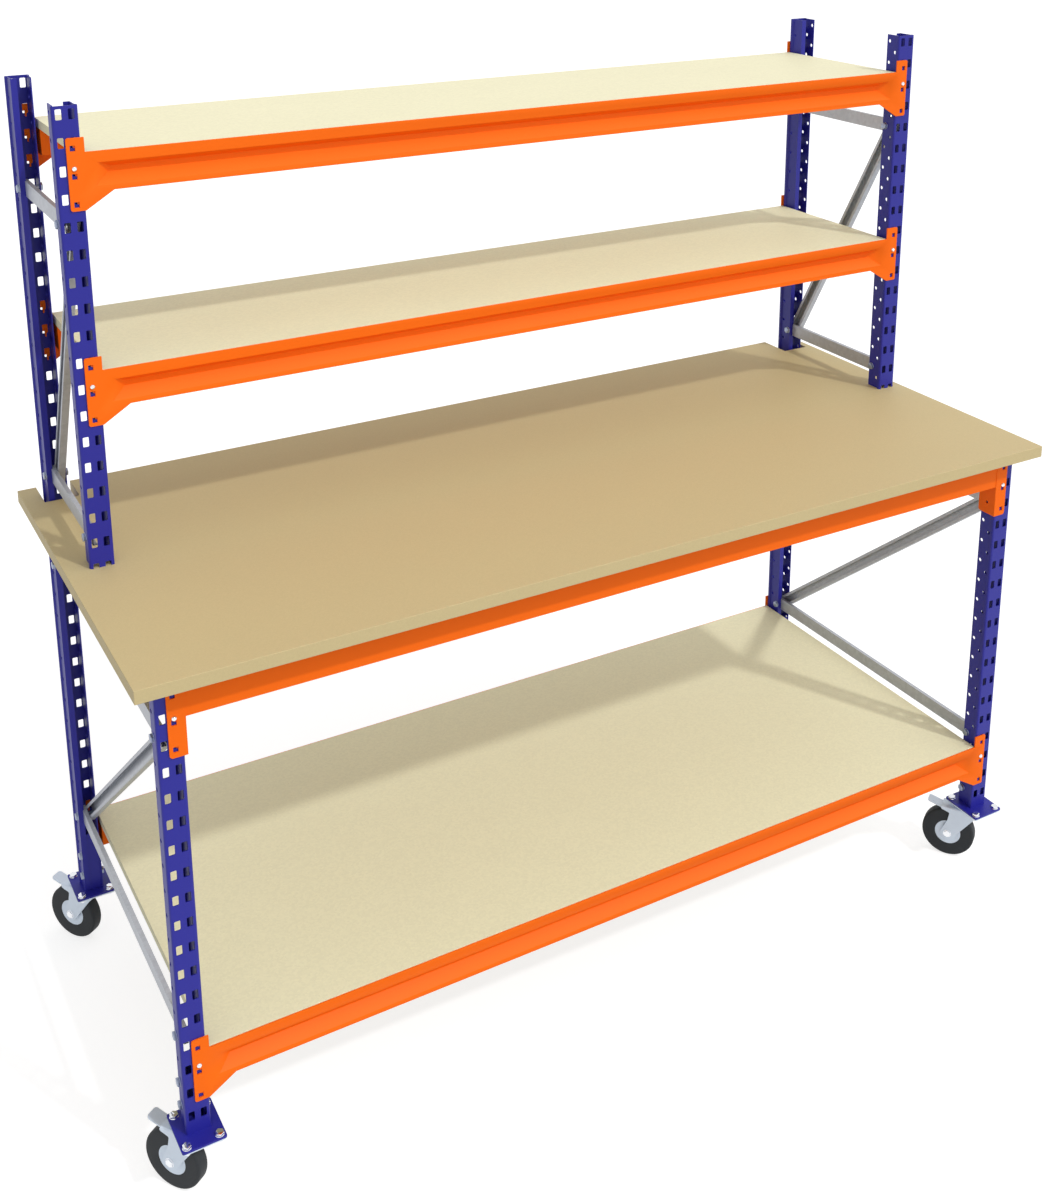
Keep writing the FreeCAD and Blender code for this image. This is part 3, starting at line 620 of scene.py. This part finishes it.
def slot_cutter(bm, x, z, sizes):
    """A prism with rounded corners for one beam-hook slot through the face."""
    half = Vector((sizes.hole_width / 2, sizes.sheet * 2, sizes.hole_height / 2))
    centre = Vector((x, sizes.sheet / 2, z))
    made = add_block(bm, centre - half, centre + half)
    corners = [edge for edge in edges_of(made)
               if abs(edge.verts[0].co.y - edge.verts[1].co.y) > half.y]
    round_off(bm, corners, sizes.hole_corner, 3)


def punched_holes(sizes, width, bottom, top):
    """Slots in the face, spare holes in both walls and bolt holes in the plain wall."""
    bm = bmesh.new()
    foot_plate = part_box("upright_front_left")[0].z
    first = foot_plate + sizes.first_hole
    row = math.ceil((bottom - first - sizes.hole_height / 2) / sizes.hole_pitch)
    while first + row * sizes.hole_pitch < top:
        level = first + row * sizes.hole_pitch - bottom
        for side in (-1, 1):
            slot_cutter(bm, side * sizes.hole_spread / 2, level, sizes)
        for centre, depth, height in ((-width / 2, sizes.bolt_depth, level),
                                      (0.0, sizes.spare_depth, level + sizes.hole_pitch / 2)):
            if sizes.bolt_hole * 2 < height < top - bottom - sizes.bolt_hole * 2:
                reach = width / 2 if centre else width * 1.2
                add_rod(bm, Vector((centre, depth, height)), ALONG_X, sizes.bolt_hole, reach)
        row += 1
    return bm


def build_upright(node, faces):
    """One upright: folded, punched, and stood where its CAD node stands."""
    sizes = bpy.context.scene.table_uprights
    low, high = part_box(node)
    bm = cut_with(fold_profile(sizes, low, high),
                  punched_holes(sizes, high.x - low.x, low.z, high.z))
    bmesh.ops.scale(bm, verts=bm.verts, vec=(faces, faces, 1.0))
    face_y = low.y if faces > 0 else high.y
    bmesh.ops.translate(bm, verts=bm.verts, vec=((low.x + high.x) / 2, face_y, low.z))
    finish_piece(node, "punched", bm, "Polyester powder coat blue")


class TABLE_OT_uprights(Operator):
    """Roll-formed uprights with their rows of slots and bolt holes"""
    bl_idname = "table.uprights"
    bl_label = "Uprights"

    def execute(self, context):
        for side in SIDES:
            build_upright(f"upright_front_{side}", FACES_BACK)
            build_upright(f"upright_shelf_{side}", FACES_BACK)
            build_upright(f"upright_back_{side}", FACES_FRONT)
        return {"FINISHED"}


# ---------------------------------------------------------------- bracing and feet

def add_lips(bm, open_x, lip, sheet):
    """Turn the edges of a channel's open side inwards; it is open towards -X."""
    ends = [face for face in bm.faces if near(face.calc_center_median().x, open_x)]
    middle = sum((face.calc_center_median() for face in ends), Vector()) / len(ends)
    for face in ends:
        rim = max(face.edges, key=lambda edge: edge.calc_length()
                  - ((edge.verts[0].co + edge.verts[1].co) / 2 - middle).length)
        start, end = (vert.co.copy() for vert in rim.verts)
        run = (end - start).normalized()
        inwards = middle - start
        inwards = (inwards - run * inwards.dot(run)).normalized() * lip
        corners = [bm.verts.new(point) for point in (start, end, end + inwards, start + inwards)]
        strip = bmesh.ops.extrude_face_region(bm, geom=[bm.faces.new(corners)])["geom"]
        raised = [item for item in strip if isinstance(item, bmesh.types.BMVert)]
        bmesh.ops.translate(bm, verts=raised, vec=(sheet, 0.0, 0.0))


def build_diagonal(node, sizes):
    """A diagonal of deeper section than its CAD node, with lips at the open side."""
    bm = merged_copy(node)
    open_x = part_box(node)[0].x
    for vert in bm.verts:
        if not near(vert.co.x, open_x):
            vert.co.x += sizes.brace_web
    add_lips(bm, open_x, sizes.brace_lip, sizes.brace_sheet)
    finish_piece(node, "finished", bm, "Galvanised steel", bevel=mm(0.4))


class TABLE_OT_bracing(Operator):
    """Galvanised rails and diagonals between the uprights"""
    bl_idname = "table.bracing"
    bl_label = "Bracing"

    def execute(self, context):
        sizes = context.scene.table_uprights
        for node in sorted(NODES):
            if "_rail_" in node:
                soften(node, "Galvanised steel", bevel=mm(0.6))
            elif "_diagonal_" in node:
                build_diagonal(node, sizes)
        return {"FINISHED"}


class TABLE_OT_feet(Operator):
    """Foot plates with the channels that stand inside the uprights"""
    bl_idname = "table.feet"
    bl_label = "Feet"

    def execute(self, context):
        sizes = context.scene.table_uprights
        for corner in CORNERS:
            node = f"foot_{corner}"
            low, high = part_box(node)
            bm = merged_copy(node)
            for vert in bm.verts:
                if near(vert.co.z, high.z):
                    vert.co.z += sizes.foot_rise
            ends = edges_along(bm, 2, lambda middle: near(middle.x, low.x, high.x)
                               and near(middle.y, low.y, high.y))
            round_off(bm, ends, sizes.foot_corner)
            finish_piece(node, "finished", bm, "Polyester powder coat blue",
                         bevel=mm(0.7))
        return {"FINISHED"}


# ---------------------------------------------------------------- beams

def beam_face(node):
    """Height in Y of a beam's outer face, and the way from there into the table."""
    low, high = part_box(node)
    return (low.y, 1.0) if "front" in node else (high.y, -1.0)


def press_recess(bm, node, top, sizes):
    """Drop the hidden inside of a beam and press the recess in its face to full depth.

    Each row holds a corner's drop below the beam's top and its depth in the CAD, and then
    its drop, its depth and its distance from the beam's end as shown, in millimetres.
    """
    low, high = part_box(node)
    face, inwards = beam_face(node)
    inner_depths = (mm(1.8), mm(8.8), mm(38.2))
    rows = ((22.7, 0.0, 20.4, 0.0, 52.5), (28.5, 7.0, 31.3, sizes.recess_depth, 76.5),
            (34.1, 7.0, 42.5, sizes.recess_depth, 72.5), (62.0, 0.0, 62.0, 0.0, 46.5))
    hidden = []
    for vert in bm.verts:
        depth = (vert.co.y - face) * inwards
        if near(depth, *inner_depths):
            hidden.append(vert)
        for drop, was, new_drop, new_depth, end in rows:
            if near(top - vert.co.z, mm(drop)) and near(depth, mm(was)):
                vert.co.z = top - mm(new_drop)
                vert.co.y = face + inwards * (new_depth if was else 0.0)
                left = vert.co.x < (low.x + high.x) / 2
                vert.co.x = low.x + mm(end) if left else high.x - mm(end)
                break
    bmesh.ops.delete(bm, geom=hidden, context="VERTS")


def build_shelf_beam(node, sizes):
    """A shelf beam with rounded corners on its end plates and, at the back, a lower lip."""
    low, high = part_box(node)
    bm = merged_copy(node)
    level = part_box(f"panel_{node.split('_')[1]}")[1].z
    press_recess(bm, node, level, sizes)
    if "back" in node:
        for vert in bm.verts:
            if near(vert.co.z, level):
                vert.co.z -= sizes.back_lip_drop
    corners = edges_along(bm, 1, lambda middle: near(middle.x, low.x, high.x)
                          and near(middle.z, low.z, high.z))
    round_off(bm, corners, sizes.corner)
    finish_piece(node, "finished", bm, "Polyester powder coat orange", sizes.edge)


def build_box_beam(node, sizes):
    """A worktop beam with the two small holes in each of its side plates.

    Each pair holds a hole's depth behind the face and its height, in millimetres.
    """
    low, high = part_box(node)
    face, inwards = beam_face(node)
    holes = bmesh.new()
    for depth, height in ((24.0, 27.0), (23.4, 64.6)):
        centre = Vector(((low.x + high.x) / 2, face + inwards * mm(depth), low.z + mm(height)))
        add_rod(holes, centre, ALONG_X, sizes.side_hole, high.x - low.x)
    finish_piece(node, "finished", cut_with(merged_copy(node), holes),
                 "Polyester powder coat orange", sizes.edge)


def add_lock_pins(node, sizes):
    """The domed heads of the pins that keep a beam's hooks from lifting out."""
    low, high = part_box(node)
    drop = sizes.box_pin_drop if "worktop" in node else sizes.shelf_pin_drop
    face, inwards = beam_face(node)
    turn = Matrix.Rotation(-inwards * math.pi / 2, 4, "Z")
    radius = sizes.pin_radius
    height = sizes.pin_height
    dome = [math.radians(angle) for angle in range(0, 90, 15)]
    profile = [(0.0, 0.0)] + [(height * math.sin(a), radius * math.cos(a)) for a in dome]
    profile += [(height, 0.0)]
    bm = bmesh.new()
    for x in (low.x + sizes.pin_inset, high.x - sizes.pin_inset):
        place = Matrix.Translation((x, face, high.z - drop))
        join_into(bm, turned(profile, 24), place @ turn)
    finish_piece(node, "lock_pins", bm, "Zinc plated fastener",
                 stands_for_node=False)


class TABLE_OT_beams(Operator):
    """Shelf beams and worktop beams with their hook-in end plates and lock pins"""
    bl_idname = "table.beams"
    bl_label = "Beams"

    def execute(self, context):
        sizes = context.scene.table_beams
        for node in sorted(NODES):
            if node.startswith("beam_worktop"):
                build_box_beam(node, sizes)
            elif node.startswith("beam_"):
                build_shelf_beam(node, sizes)
            if node.startswith("beam_"):
                add_lock_pins(node, sizes)
        return {"FINISHED"}


# ---------------------------------------------------------------- panels

class TABLE_OT_panels(Operator):
    """Worktop and shelf panels"""
    bl_idname = "table.panels"
    bl_label = "Panels"

    def execute(self, context):
        edge = context.scene.table_panels.edge
        soften("worktop", "Sanded fibreboard", edge)
        for shelf in SHELVES:
            soften(f"panel_{shelf}", "Sanded chipboard", edge)
        return {"FINISHED"}


# ---------------------------------------------------------------- castors
# A castor's own frame has the swivel axis on Z, the axle along X and the wheel
# trailing towards +Y, with the floor at zero.

def castor_place(corner):
    """From a castor's own frame to its place under the table."""
    swivel = JOINTS[f"swivel_{corner}"]["pos_m"]
    axle = JOINTS[f"wheel_spin_{corner}"]["axis"]
    turn = Matrix.Rotation(math.atan2(axle[1], axle[0]), 4, "Z")
    return Matrix.Translation((swivel[0], swivel[1], 0.0)) @ turn


def axle_point(corner):
    """The wheel's centre in the castor's own frame."""
    return castor_place(corner).inverted() @ Vector(JOINTS[f"wheel_spin_{corner}"]["pos_m"])


def local_copy(node, place):
    """A merged copy of a CAD node in the castor's own frame."""
    return placed(merged_copy(node), place.inverted())


def span_along_axle(node, place):
    """The least and the greatest X of a CAD node in the castor's own frame."""
    bm = local_copy(node, place)
    reach = [vert.co.x for vert in bm.verts]
    bm.free()
    return min(reach), max(reach)


def build_tyre(corner, sizes):
    """A solid tyre with rounded shoulders."""
    node = f"castor_tyre_{corner}"
    place = castor_place(corner)
    half = span_along_axle(node, place)[1]
    centre = axle_point(corner)
    radius = centre.z
    bead = mm(0.8)
    side = half - sizes.shoulder
    top = radius - sizes.shoulder
    profile = [(half - bead, sizes.rim_radius), (half, sizes.rim_radius + bead)]
    profile += quarter_round((side, top), sizes.shoulder, 0.0)
    profile += quarter_round((-side, top), sizes.shoulder, 90.0)
    profile += [(-half, sizes.rim_radius + bead), (bead - half, sizes.rim_radius)]
    bm = placed(turned(profile, sizes.steps), place @ Matrix.Translation(centre))
    finish_piece(node, "moulded", bm, "Moulded rubber")


def build_rim(corner, sizes):
    """The steel disc of the wheel: a rolled edge, a shallow dish and a hub."""
    node = f"castor_rim_{corner}"
    place = castor_place(corner)
    half = span_along_axle(node, place)[1]
    edge = half - mm(0.4)
    floor = edge - sizes.dish
    hub = sizes.leg_gap - mm(0.4)
    right = [(edge - mm(1.5), sizes.rim_radius), (edge - mm(0.4), sizes.rim_radius - mm(0.3)),
             (edge, sizes.rim_radius - mm(1.2)), (edge, sizes.rim_radius - mm(3.0)),
             (floor, sizes.rim_radius - mm(5.5)), (floor, mm(12.5)), (floor + mm(0.8), mm(11.0)),
             (hub, mm(10.0)), (hub, mm(5.2))]
    left = [(-along, radius) for along, radius in reversed(right)]
    bm = placed(turned(right + left, sizes.steps),
                place @ Matrix.Translation(axle_point(corner)))
    finish_piece(node, "pressed", bm, "Zinc plated pressing")


def build_fork(corner, sizes):
    """The fork, folded from one sheet: round folds and softened outlines."""
    node = f"castor_fork_{corner}"
    place = castor_place(corner)
    bm = local_copy(node, place)
    inner = sizes.leg_gap
    outer = inner + sizes.leg_sheet
    top = max(vert.co.z for vert in bm.verts)
    folds = edges_along(bm, 1, lambda middle: near(abs(middle.x), outer) and near(middle.z, top))
    round_off(bm, folds, sizes.fold)
    leg_corners = [edge for edge in edges_along(
        bm, 0, lambda middle: inner < abs(middle.x) < outer and middle.z < top - mm(5.0))
        if len(edge.link_faces) == 2 and edge.calc_face_angle(0.0) > math.radians(25.0)]
    round_off(bm, leg_corners, mm(3.0), 3)
    finish_piece(node, "folded", placed(bm, place), "Zinc plated pressing",
                 bevel=mm(0.5))


def build_axle(corner, sizes, fasteners):
    """The axle bolt: washers, chamfered head and nut, and the end of the thread."""
    node = f"castor_axle_{corner}"
    place = castor_place(corner)
    low, high = span_along_axle(node, place)
    thread_radius, washer_radius, flats = mm(4.9), mm(9.5), mm(15.0)
    bm = bmesh.new()
    centre = axle_point(corner)
    add_rod(bm, centre, ALONG_X, thread_radius, high - low - mm(1.0), 24)
    seat = sizes.leg_gap + sizes.leg_sheet
    depth = high - seat - mm(0.6)
    for way in (-ALONG_X, ALONG_X):
        add_rod(bm, centre + way * (seat + fasteners.flange_height / 2), ALONG_X,
                washer_radius, fasteners.flange_height, 32)
        add_hex(bm, centre + way * (seat + depth / 2), way, flats, depth)
    finish_piece(node, "turned", placed(bm, place), "Zinc plated fastener")


def build_pedal(corner, sizes):
    """The brake pedal with a rounded tip."""
    node = f"castor_brake_pedal_{corner}"
    place = castor_place(corner)
    bm = local_copy(node, place)
    tip = max(vert.co.y for vert in bm.verts)
    ends = edges_along(bm, 2, lambda middle: near(middle.y, tip))
    round_off(bm, ends, sizes.pedal_corner)
    finish_piece(node, "pressed", placed(bm, place), "Zinc plated pressing",
                 bevel=mm(0.8))


def race_profile(sizes, low, high):
    """The ball race between top plate and crown, as points (along its axis, radius)."""
    radius = sizes.race_radius
    step = (high - low) / 10
    return [(low, 0.0), (low, radius - mm(6.0)), (low + step, radius - mm(2.4)),
            (low + 3.5 * step, radius - mm(1.4)), (low + 4.6 * step, radius - mm(3.0)),
            (low + 5.6 * step, radius - mm(0.6)), (low + 8 * step, radius),
            (high, radius - mm(1.6)), (high, 0.0)]


def build_top_plates(sizes):
    """The castors' top plates with their races, kingpins and kingpin nuts."""
    bm = bmesh.new()
    upwards = Matrix.Rotation(-math.pi / 2, 4, "Y")
    down = Vector((0.0, 0.0, -1.0))
    pin_radius, nut_flats, nut_height = mm(5.9), mm(18.0), mm(7.0)
    bottom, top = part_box("castor_plates")
    under = top.z - sizes.plate
    for corner in CORNERS:
        foot_low, foot_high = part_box(f"foot_{corner}")
        swivel = Vector(JOINTS[f"swivel_{corner}"]["pos_m"])
        edge = Vector((mm(1.2), mm(1.2), 0.0))
        plate = bmesh.new()
        add_block(plate, Vector((foot_low.x, foot_low.y, under)) + edge,
                  Vector((foot_high.x, foot_high.y, top.z)) - edge)
        round_off(plate, edges_along(plate, 2, lambda middle: True), mm(5.0))
        join_into(bm, plate, Matrix.Identity(4))
        race = turned(race_profile(sizes, swivel.z + mm(0.4), under), sizes.steps)
        join_into(bm, race, Matrix.Translation((swivel.x, swivel.y, 0.0)) @ upwards)
        pin = Vector((swivel.x, swivel.y, (under + bottom.z) / 2))
        add_rod(bm, pin, down, pin_radius, under - bottom.z, 24)
        pin.z = bottom.z + nut_height / 2
        add_hex(bm, pin, down, nut_flats, nut_height)
    finish_piece("castor_plates", "finished", bm, "Zinc plated pressing")


class TABLE_OT_castors(Operator):
    """Braked swivel castors"""
    bl_idname = "table.castors"
    bl_label = "Castors"

    def execute(self, context):
        sizes = context.scene.table_castors
        for corner in CORNERS:
            build_tyre(corner, sizes)
            build_rim(corner, sizes)
            build_fork(corner, sizes)
            build_axle(corner, sizes, context.scene.table_fasteners)
            build_pedal(corner, sizes)
        build_top_plates(sizes)
        return {"FINISHED"}


# ---------------------------------------------------------------- fasteners

def solids_of(node):
    """The lowest and highest corner of each separate solid in a node."""
    bm = merged_copy(node)
    left = set(bm.verts)
    corners = []
    for seed in bm.verts:
        if seed not in left:
            continue
        left.remove(seed)
        reached = [seed]
        places = []
        while reached:
            vert = reached.pop()
            places.append(vert.co.copy())
            linked = {edge.other_vert(vert) for edge in vert.link_edges} & left
            left -= linked
            reached += linked
        corners.append([Vector([choose(place[axis] for place in places) for axis in range(3)])
                        for choose in (min, max)])
    bm.free()
    return corners


def add_hex(bm, centre, outwards, flats, height):
    """A hexagon head or nut whose outer rim is chamfered."""
    made = add_rod(bm, centre, outwards, flats / math.sqrt(3), height, 6)
    level = centre.dot(outwards)
    rim = [edge for edge in edges_of(made)
           if all(end.co.dot(outwards) > level for end in edge.verts)]
    round_off(bm, rim, height * 0.18, 2)


def add_bolt(bm, seat, outwards, grip, sizes):
    """A flange bolt whose head sits at the seat, with its nut on the other side of the grip."""
    flange = sizes.flange_height
    length = grip + sizes.nut + flange
    add_rod(bm, seat - outwards * length / 2, outwards, sizes.shank, length, 16)
    for start, way, height in ((seat, outwards, sizes.head),
                               (seat - outwards * grip, -outwards, sizes.nut)):
        add_rod(bm, start + way * flange / 2, way, sizes.flange, flange, 24,
                sizes.flange * 0.93)
        add_hex(bm, start + way * (flange * 0.5 + height / 2), way, sizes.flats,
                height - flange * 0.9)


def build_bolts(node, outwards, material, sizes):
    """Every bolt of a node, each where its CAD solid is."""
    bm = bmesh.new()
    axis = 0 if outwards.x else 2
    for low, high in solids_of(node):
        middle = (low + high) / 2
        grip = high[axis] - low[axis] - sizes.head - sizes.nut
        reach = (high[axis] - low[axis]) / 2 - sizes.head
        add_bolt(bm, middle + outwards * reach, outwards, grip, sizes)
    finish_piece(node, "turned", bm, material)


class TABLE_OT_fasteners(Operator):
    """Bolts through the frames and the castor plates"""
    bl_idname = "table.fasteners"
    bl_label = "Fasteners"

    def execute(self, context):
        sizes = context.scene.table_fasteners
        build_bolts("frame_bolts", Vector((-1.0, 0.0, 0.0)), "Passivated zinc fastener", sizes)
        build_bolts("castor_bolts", Vector((0.0, 0.0, 1.0)), "Zinc plated fastener", sizes)
        return {"FINISHED"}


# ---------------------------------------------------------------- stage

def add_camera():
    """A camera at the place, turn and lens of the product view."""
    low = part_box("upright_front_left")[0]
    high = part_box("upright_back_right")[1]
    centre = Vector(((low.x + high.x) / 2, (low.y + high.y) / 2, 0.0))
    from_centre = Vector((-1523.96, -2663.31, 2397.2)) / 1000.0
    heading = math.radians(30.01)
    pitch = math.radians(15.07)
    image_height = 1200.0
    focal_pixels = 1530.61
    shift_pixels = (-30.36, -351.12)
    data = bpy.data.cameras.new("Product view")
    camera = add_object("Product view", data)
    camera.location = centre + from_centre
    camera.rotation_euler = (math.pi / 2 - pitch, 0.0, -heading)
    data.sensor_fit = "AUTO"
    data.sensor_width = 36.0
    data.lens = focal_pixels / image_height * data.sensor_width
    data.shift_x, data.shift_y = [pixels / image_height for pixels in shift_pixels]
    data.clip_end = 100.0
    bpy.context.scene.camera = camera


def add_lamp(settings):
    """A far lamp at the front right, half way up, with soft-edged shadows."""
    data = bpy.data.lights.new("Front right lamp", "SUN")
    data.angle = settings.lamp_spread
    data.energy = settings.lamp
    lamp = add_object("Front right lamp", data)
    shines_towards = Vector((-0.42, 0.885, -1.0))
    lamp.rotation_euler = shines_towards.to_track_quat("-Z", "Y").to_euler()


def seen_directly(tree):
    """1 for rays from the camera, in mirrors and through glass, otherwise 0."""
    path = add_node(tree, "ShaderNodeLightPath")
    total = path.outputs["Is Camera Ray"]
    for kind in ("Is Glossy Ray", "Is Transmission Ray"):
        either = add_node(tree, "ShaderNodeMath", {"operation": "MAXIMUM"}, None,
                          {0: total, 1: path.outputs[kind]})
        total = either.outputs["Value"]
    return total


def white_surroundings(strength, tilt):
    """Light from all round, stronger on the tilt's side, which shows as white."""
    world = bpy.data.worlds.new("Surroundings")
    bpy.context.scene.world = world
    world.use_nodes = True
    tree = world.node_tree
    tree.nodes.clear()
    sky = add_node(tree, "ShaderNodeTexCoord").outputs["Generated"]
    lean = add_node(tree, "ShaderNodeVectorMath", {"operation": "DOT_PRODUCT"},
                    {1: tuple(tilt)}, {0: sky})
    power = add_node(tree, "ShaderNodeMath", {"operation": "ADD"}, {1: strength},
                     {0: lean.outputs["Value"]})
    light = add_node(tree, "ShaderNodeBackground", None, {"Color": (1, 1, 1, 1)},
                     {"Strength": power.outputs["Value"]})
    shown = add_node(tree, "ShaderNodeBackground", None, {"Color": (1, 1, 1, 1), "Strength": 1.0})
    mix = add_node(tree, "ShaderNodeMixShader", None, None,
                   {"Fac": seen_directly(tree), 1: light.outputs["Background"],
                    2: shown.outputs["Background"]})
    add_node(tree, "ShaderNodeOutputWorld", links={"Surface": mix.outputs["Shader"]})


def add_floor(glow):
    """A wide matt white floor that looks white and still takes a soft shadow."""
    material, tree, _ = start_material("Pale studio floor")
    shown = add_node(tree, "ShaderNodeMath", {"operation": "MULTIPLY"}, {1: glow},
                     {0: seen_directly(tree)})
    end_material(tree, {"Base Color": linear("#b3b3b3"), "Roughness": 0.9,
                        "Specular IOR Level": 0.0, "Emission Color": (1, 1, 1, 1)},
                 {"Emission Strength": shown.outputs["Value"]})
    bm = bmesh.new()
    bmesh.ops.create_grid(bm, x_segments=1, y_segments=1, size=30.0)
    mesh = mesh_from(bm, "floor")
    mesh.materials.append(material)
    add_object("floor", mesh)


class TABLE_OT_stage(Operator):
    """Floor, soft light and camera"""
    bl_idname = "table.stage"
    bl_label = "Stage"

    def execute(self, context):
        settings = context.scene.table_stage
        add_floor(settings.floor_glow)
        white_surroundings(settings.daylight, settings.daylight_tilt)
        add_lamp(settings)
        add_camera()
        context.scene.view_settings.view_transform = "Standard"
        return {"FINISHED"}


# ---------------------------------------------------------------- add-on

class TABLE_PT_sidebar(Panel):
    """Lists the table's pieces"""
    bl_idname = "TABLE_PT_sidebar"
    bl_label = "Assembly Table"
    bl_space_type = "VIEW_3D"
    bl_region_type = "UI"
    bl_category = "Assembly Table"

    def draw(self, context):
        for operator in PIECES:
            self.layout.operator(operator.bl_idname)
        for name, group in SETTINGS.items():
            box = self.layout.box()
            settings = getattr(context.scene, name)
            for prop in group.__annotations__:
                box.prop(settings, prop)


PIECES = (
    TABLE_OT_uprights,
    TABLE_OT_bracing,
    TABLE_OT_feet,
    TABLE_OT_beams,
    TABLE_OT_panels,
    TABLE_OT_castors,
    TABLE_OT_fasteners,
    TABLE_OT_stage,
)
CLASSES = (*SETTINGS.values(), *PIECES, TABLE_PT_sidebar)


def register():
    for item in CLASSES:
        bpy.utils.register_class(item)
    for name, group in SETTINGS.items():
        setattr(bpy.types.Scene, name, PointerProperty(type=group))


def unregister():
    for name in SETTINGS:
        delattr(bpy.types.Scene, name)
    for item in reversed(CLASSES):
        bpy.utils.unregister_class(item)


def main():
    register()
    bpy.ops.table.uprights()
    bpy.ops.table.bracing()
    bpy.ops.table.feet()
    bpy.ops.table.beams()
    bpy.ops.table.panels()
    bpy.ops.table.castors()
    bpy.ops.table.fasteners()
    bpy.ops.table.stage()


if __name__ == "__main__":
    main()
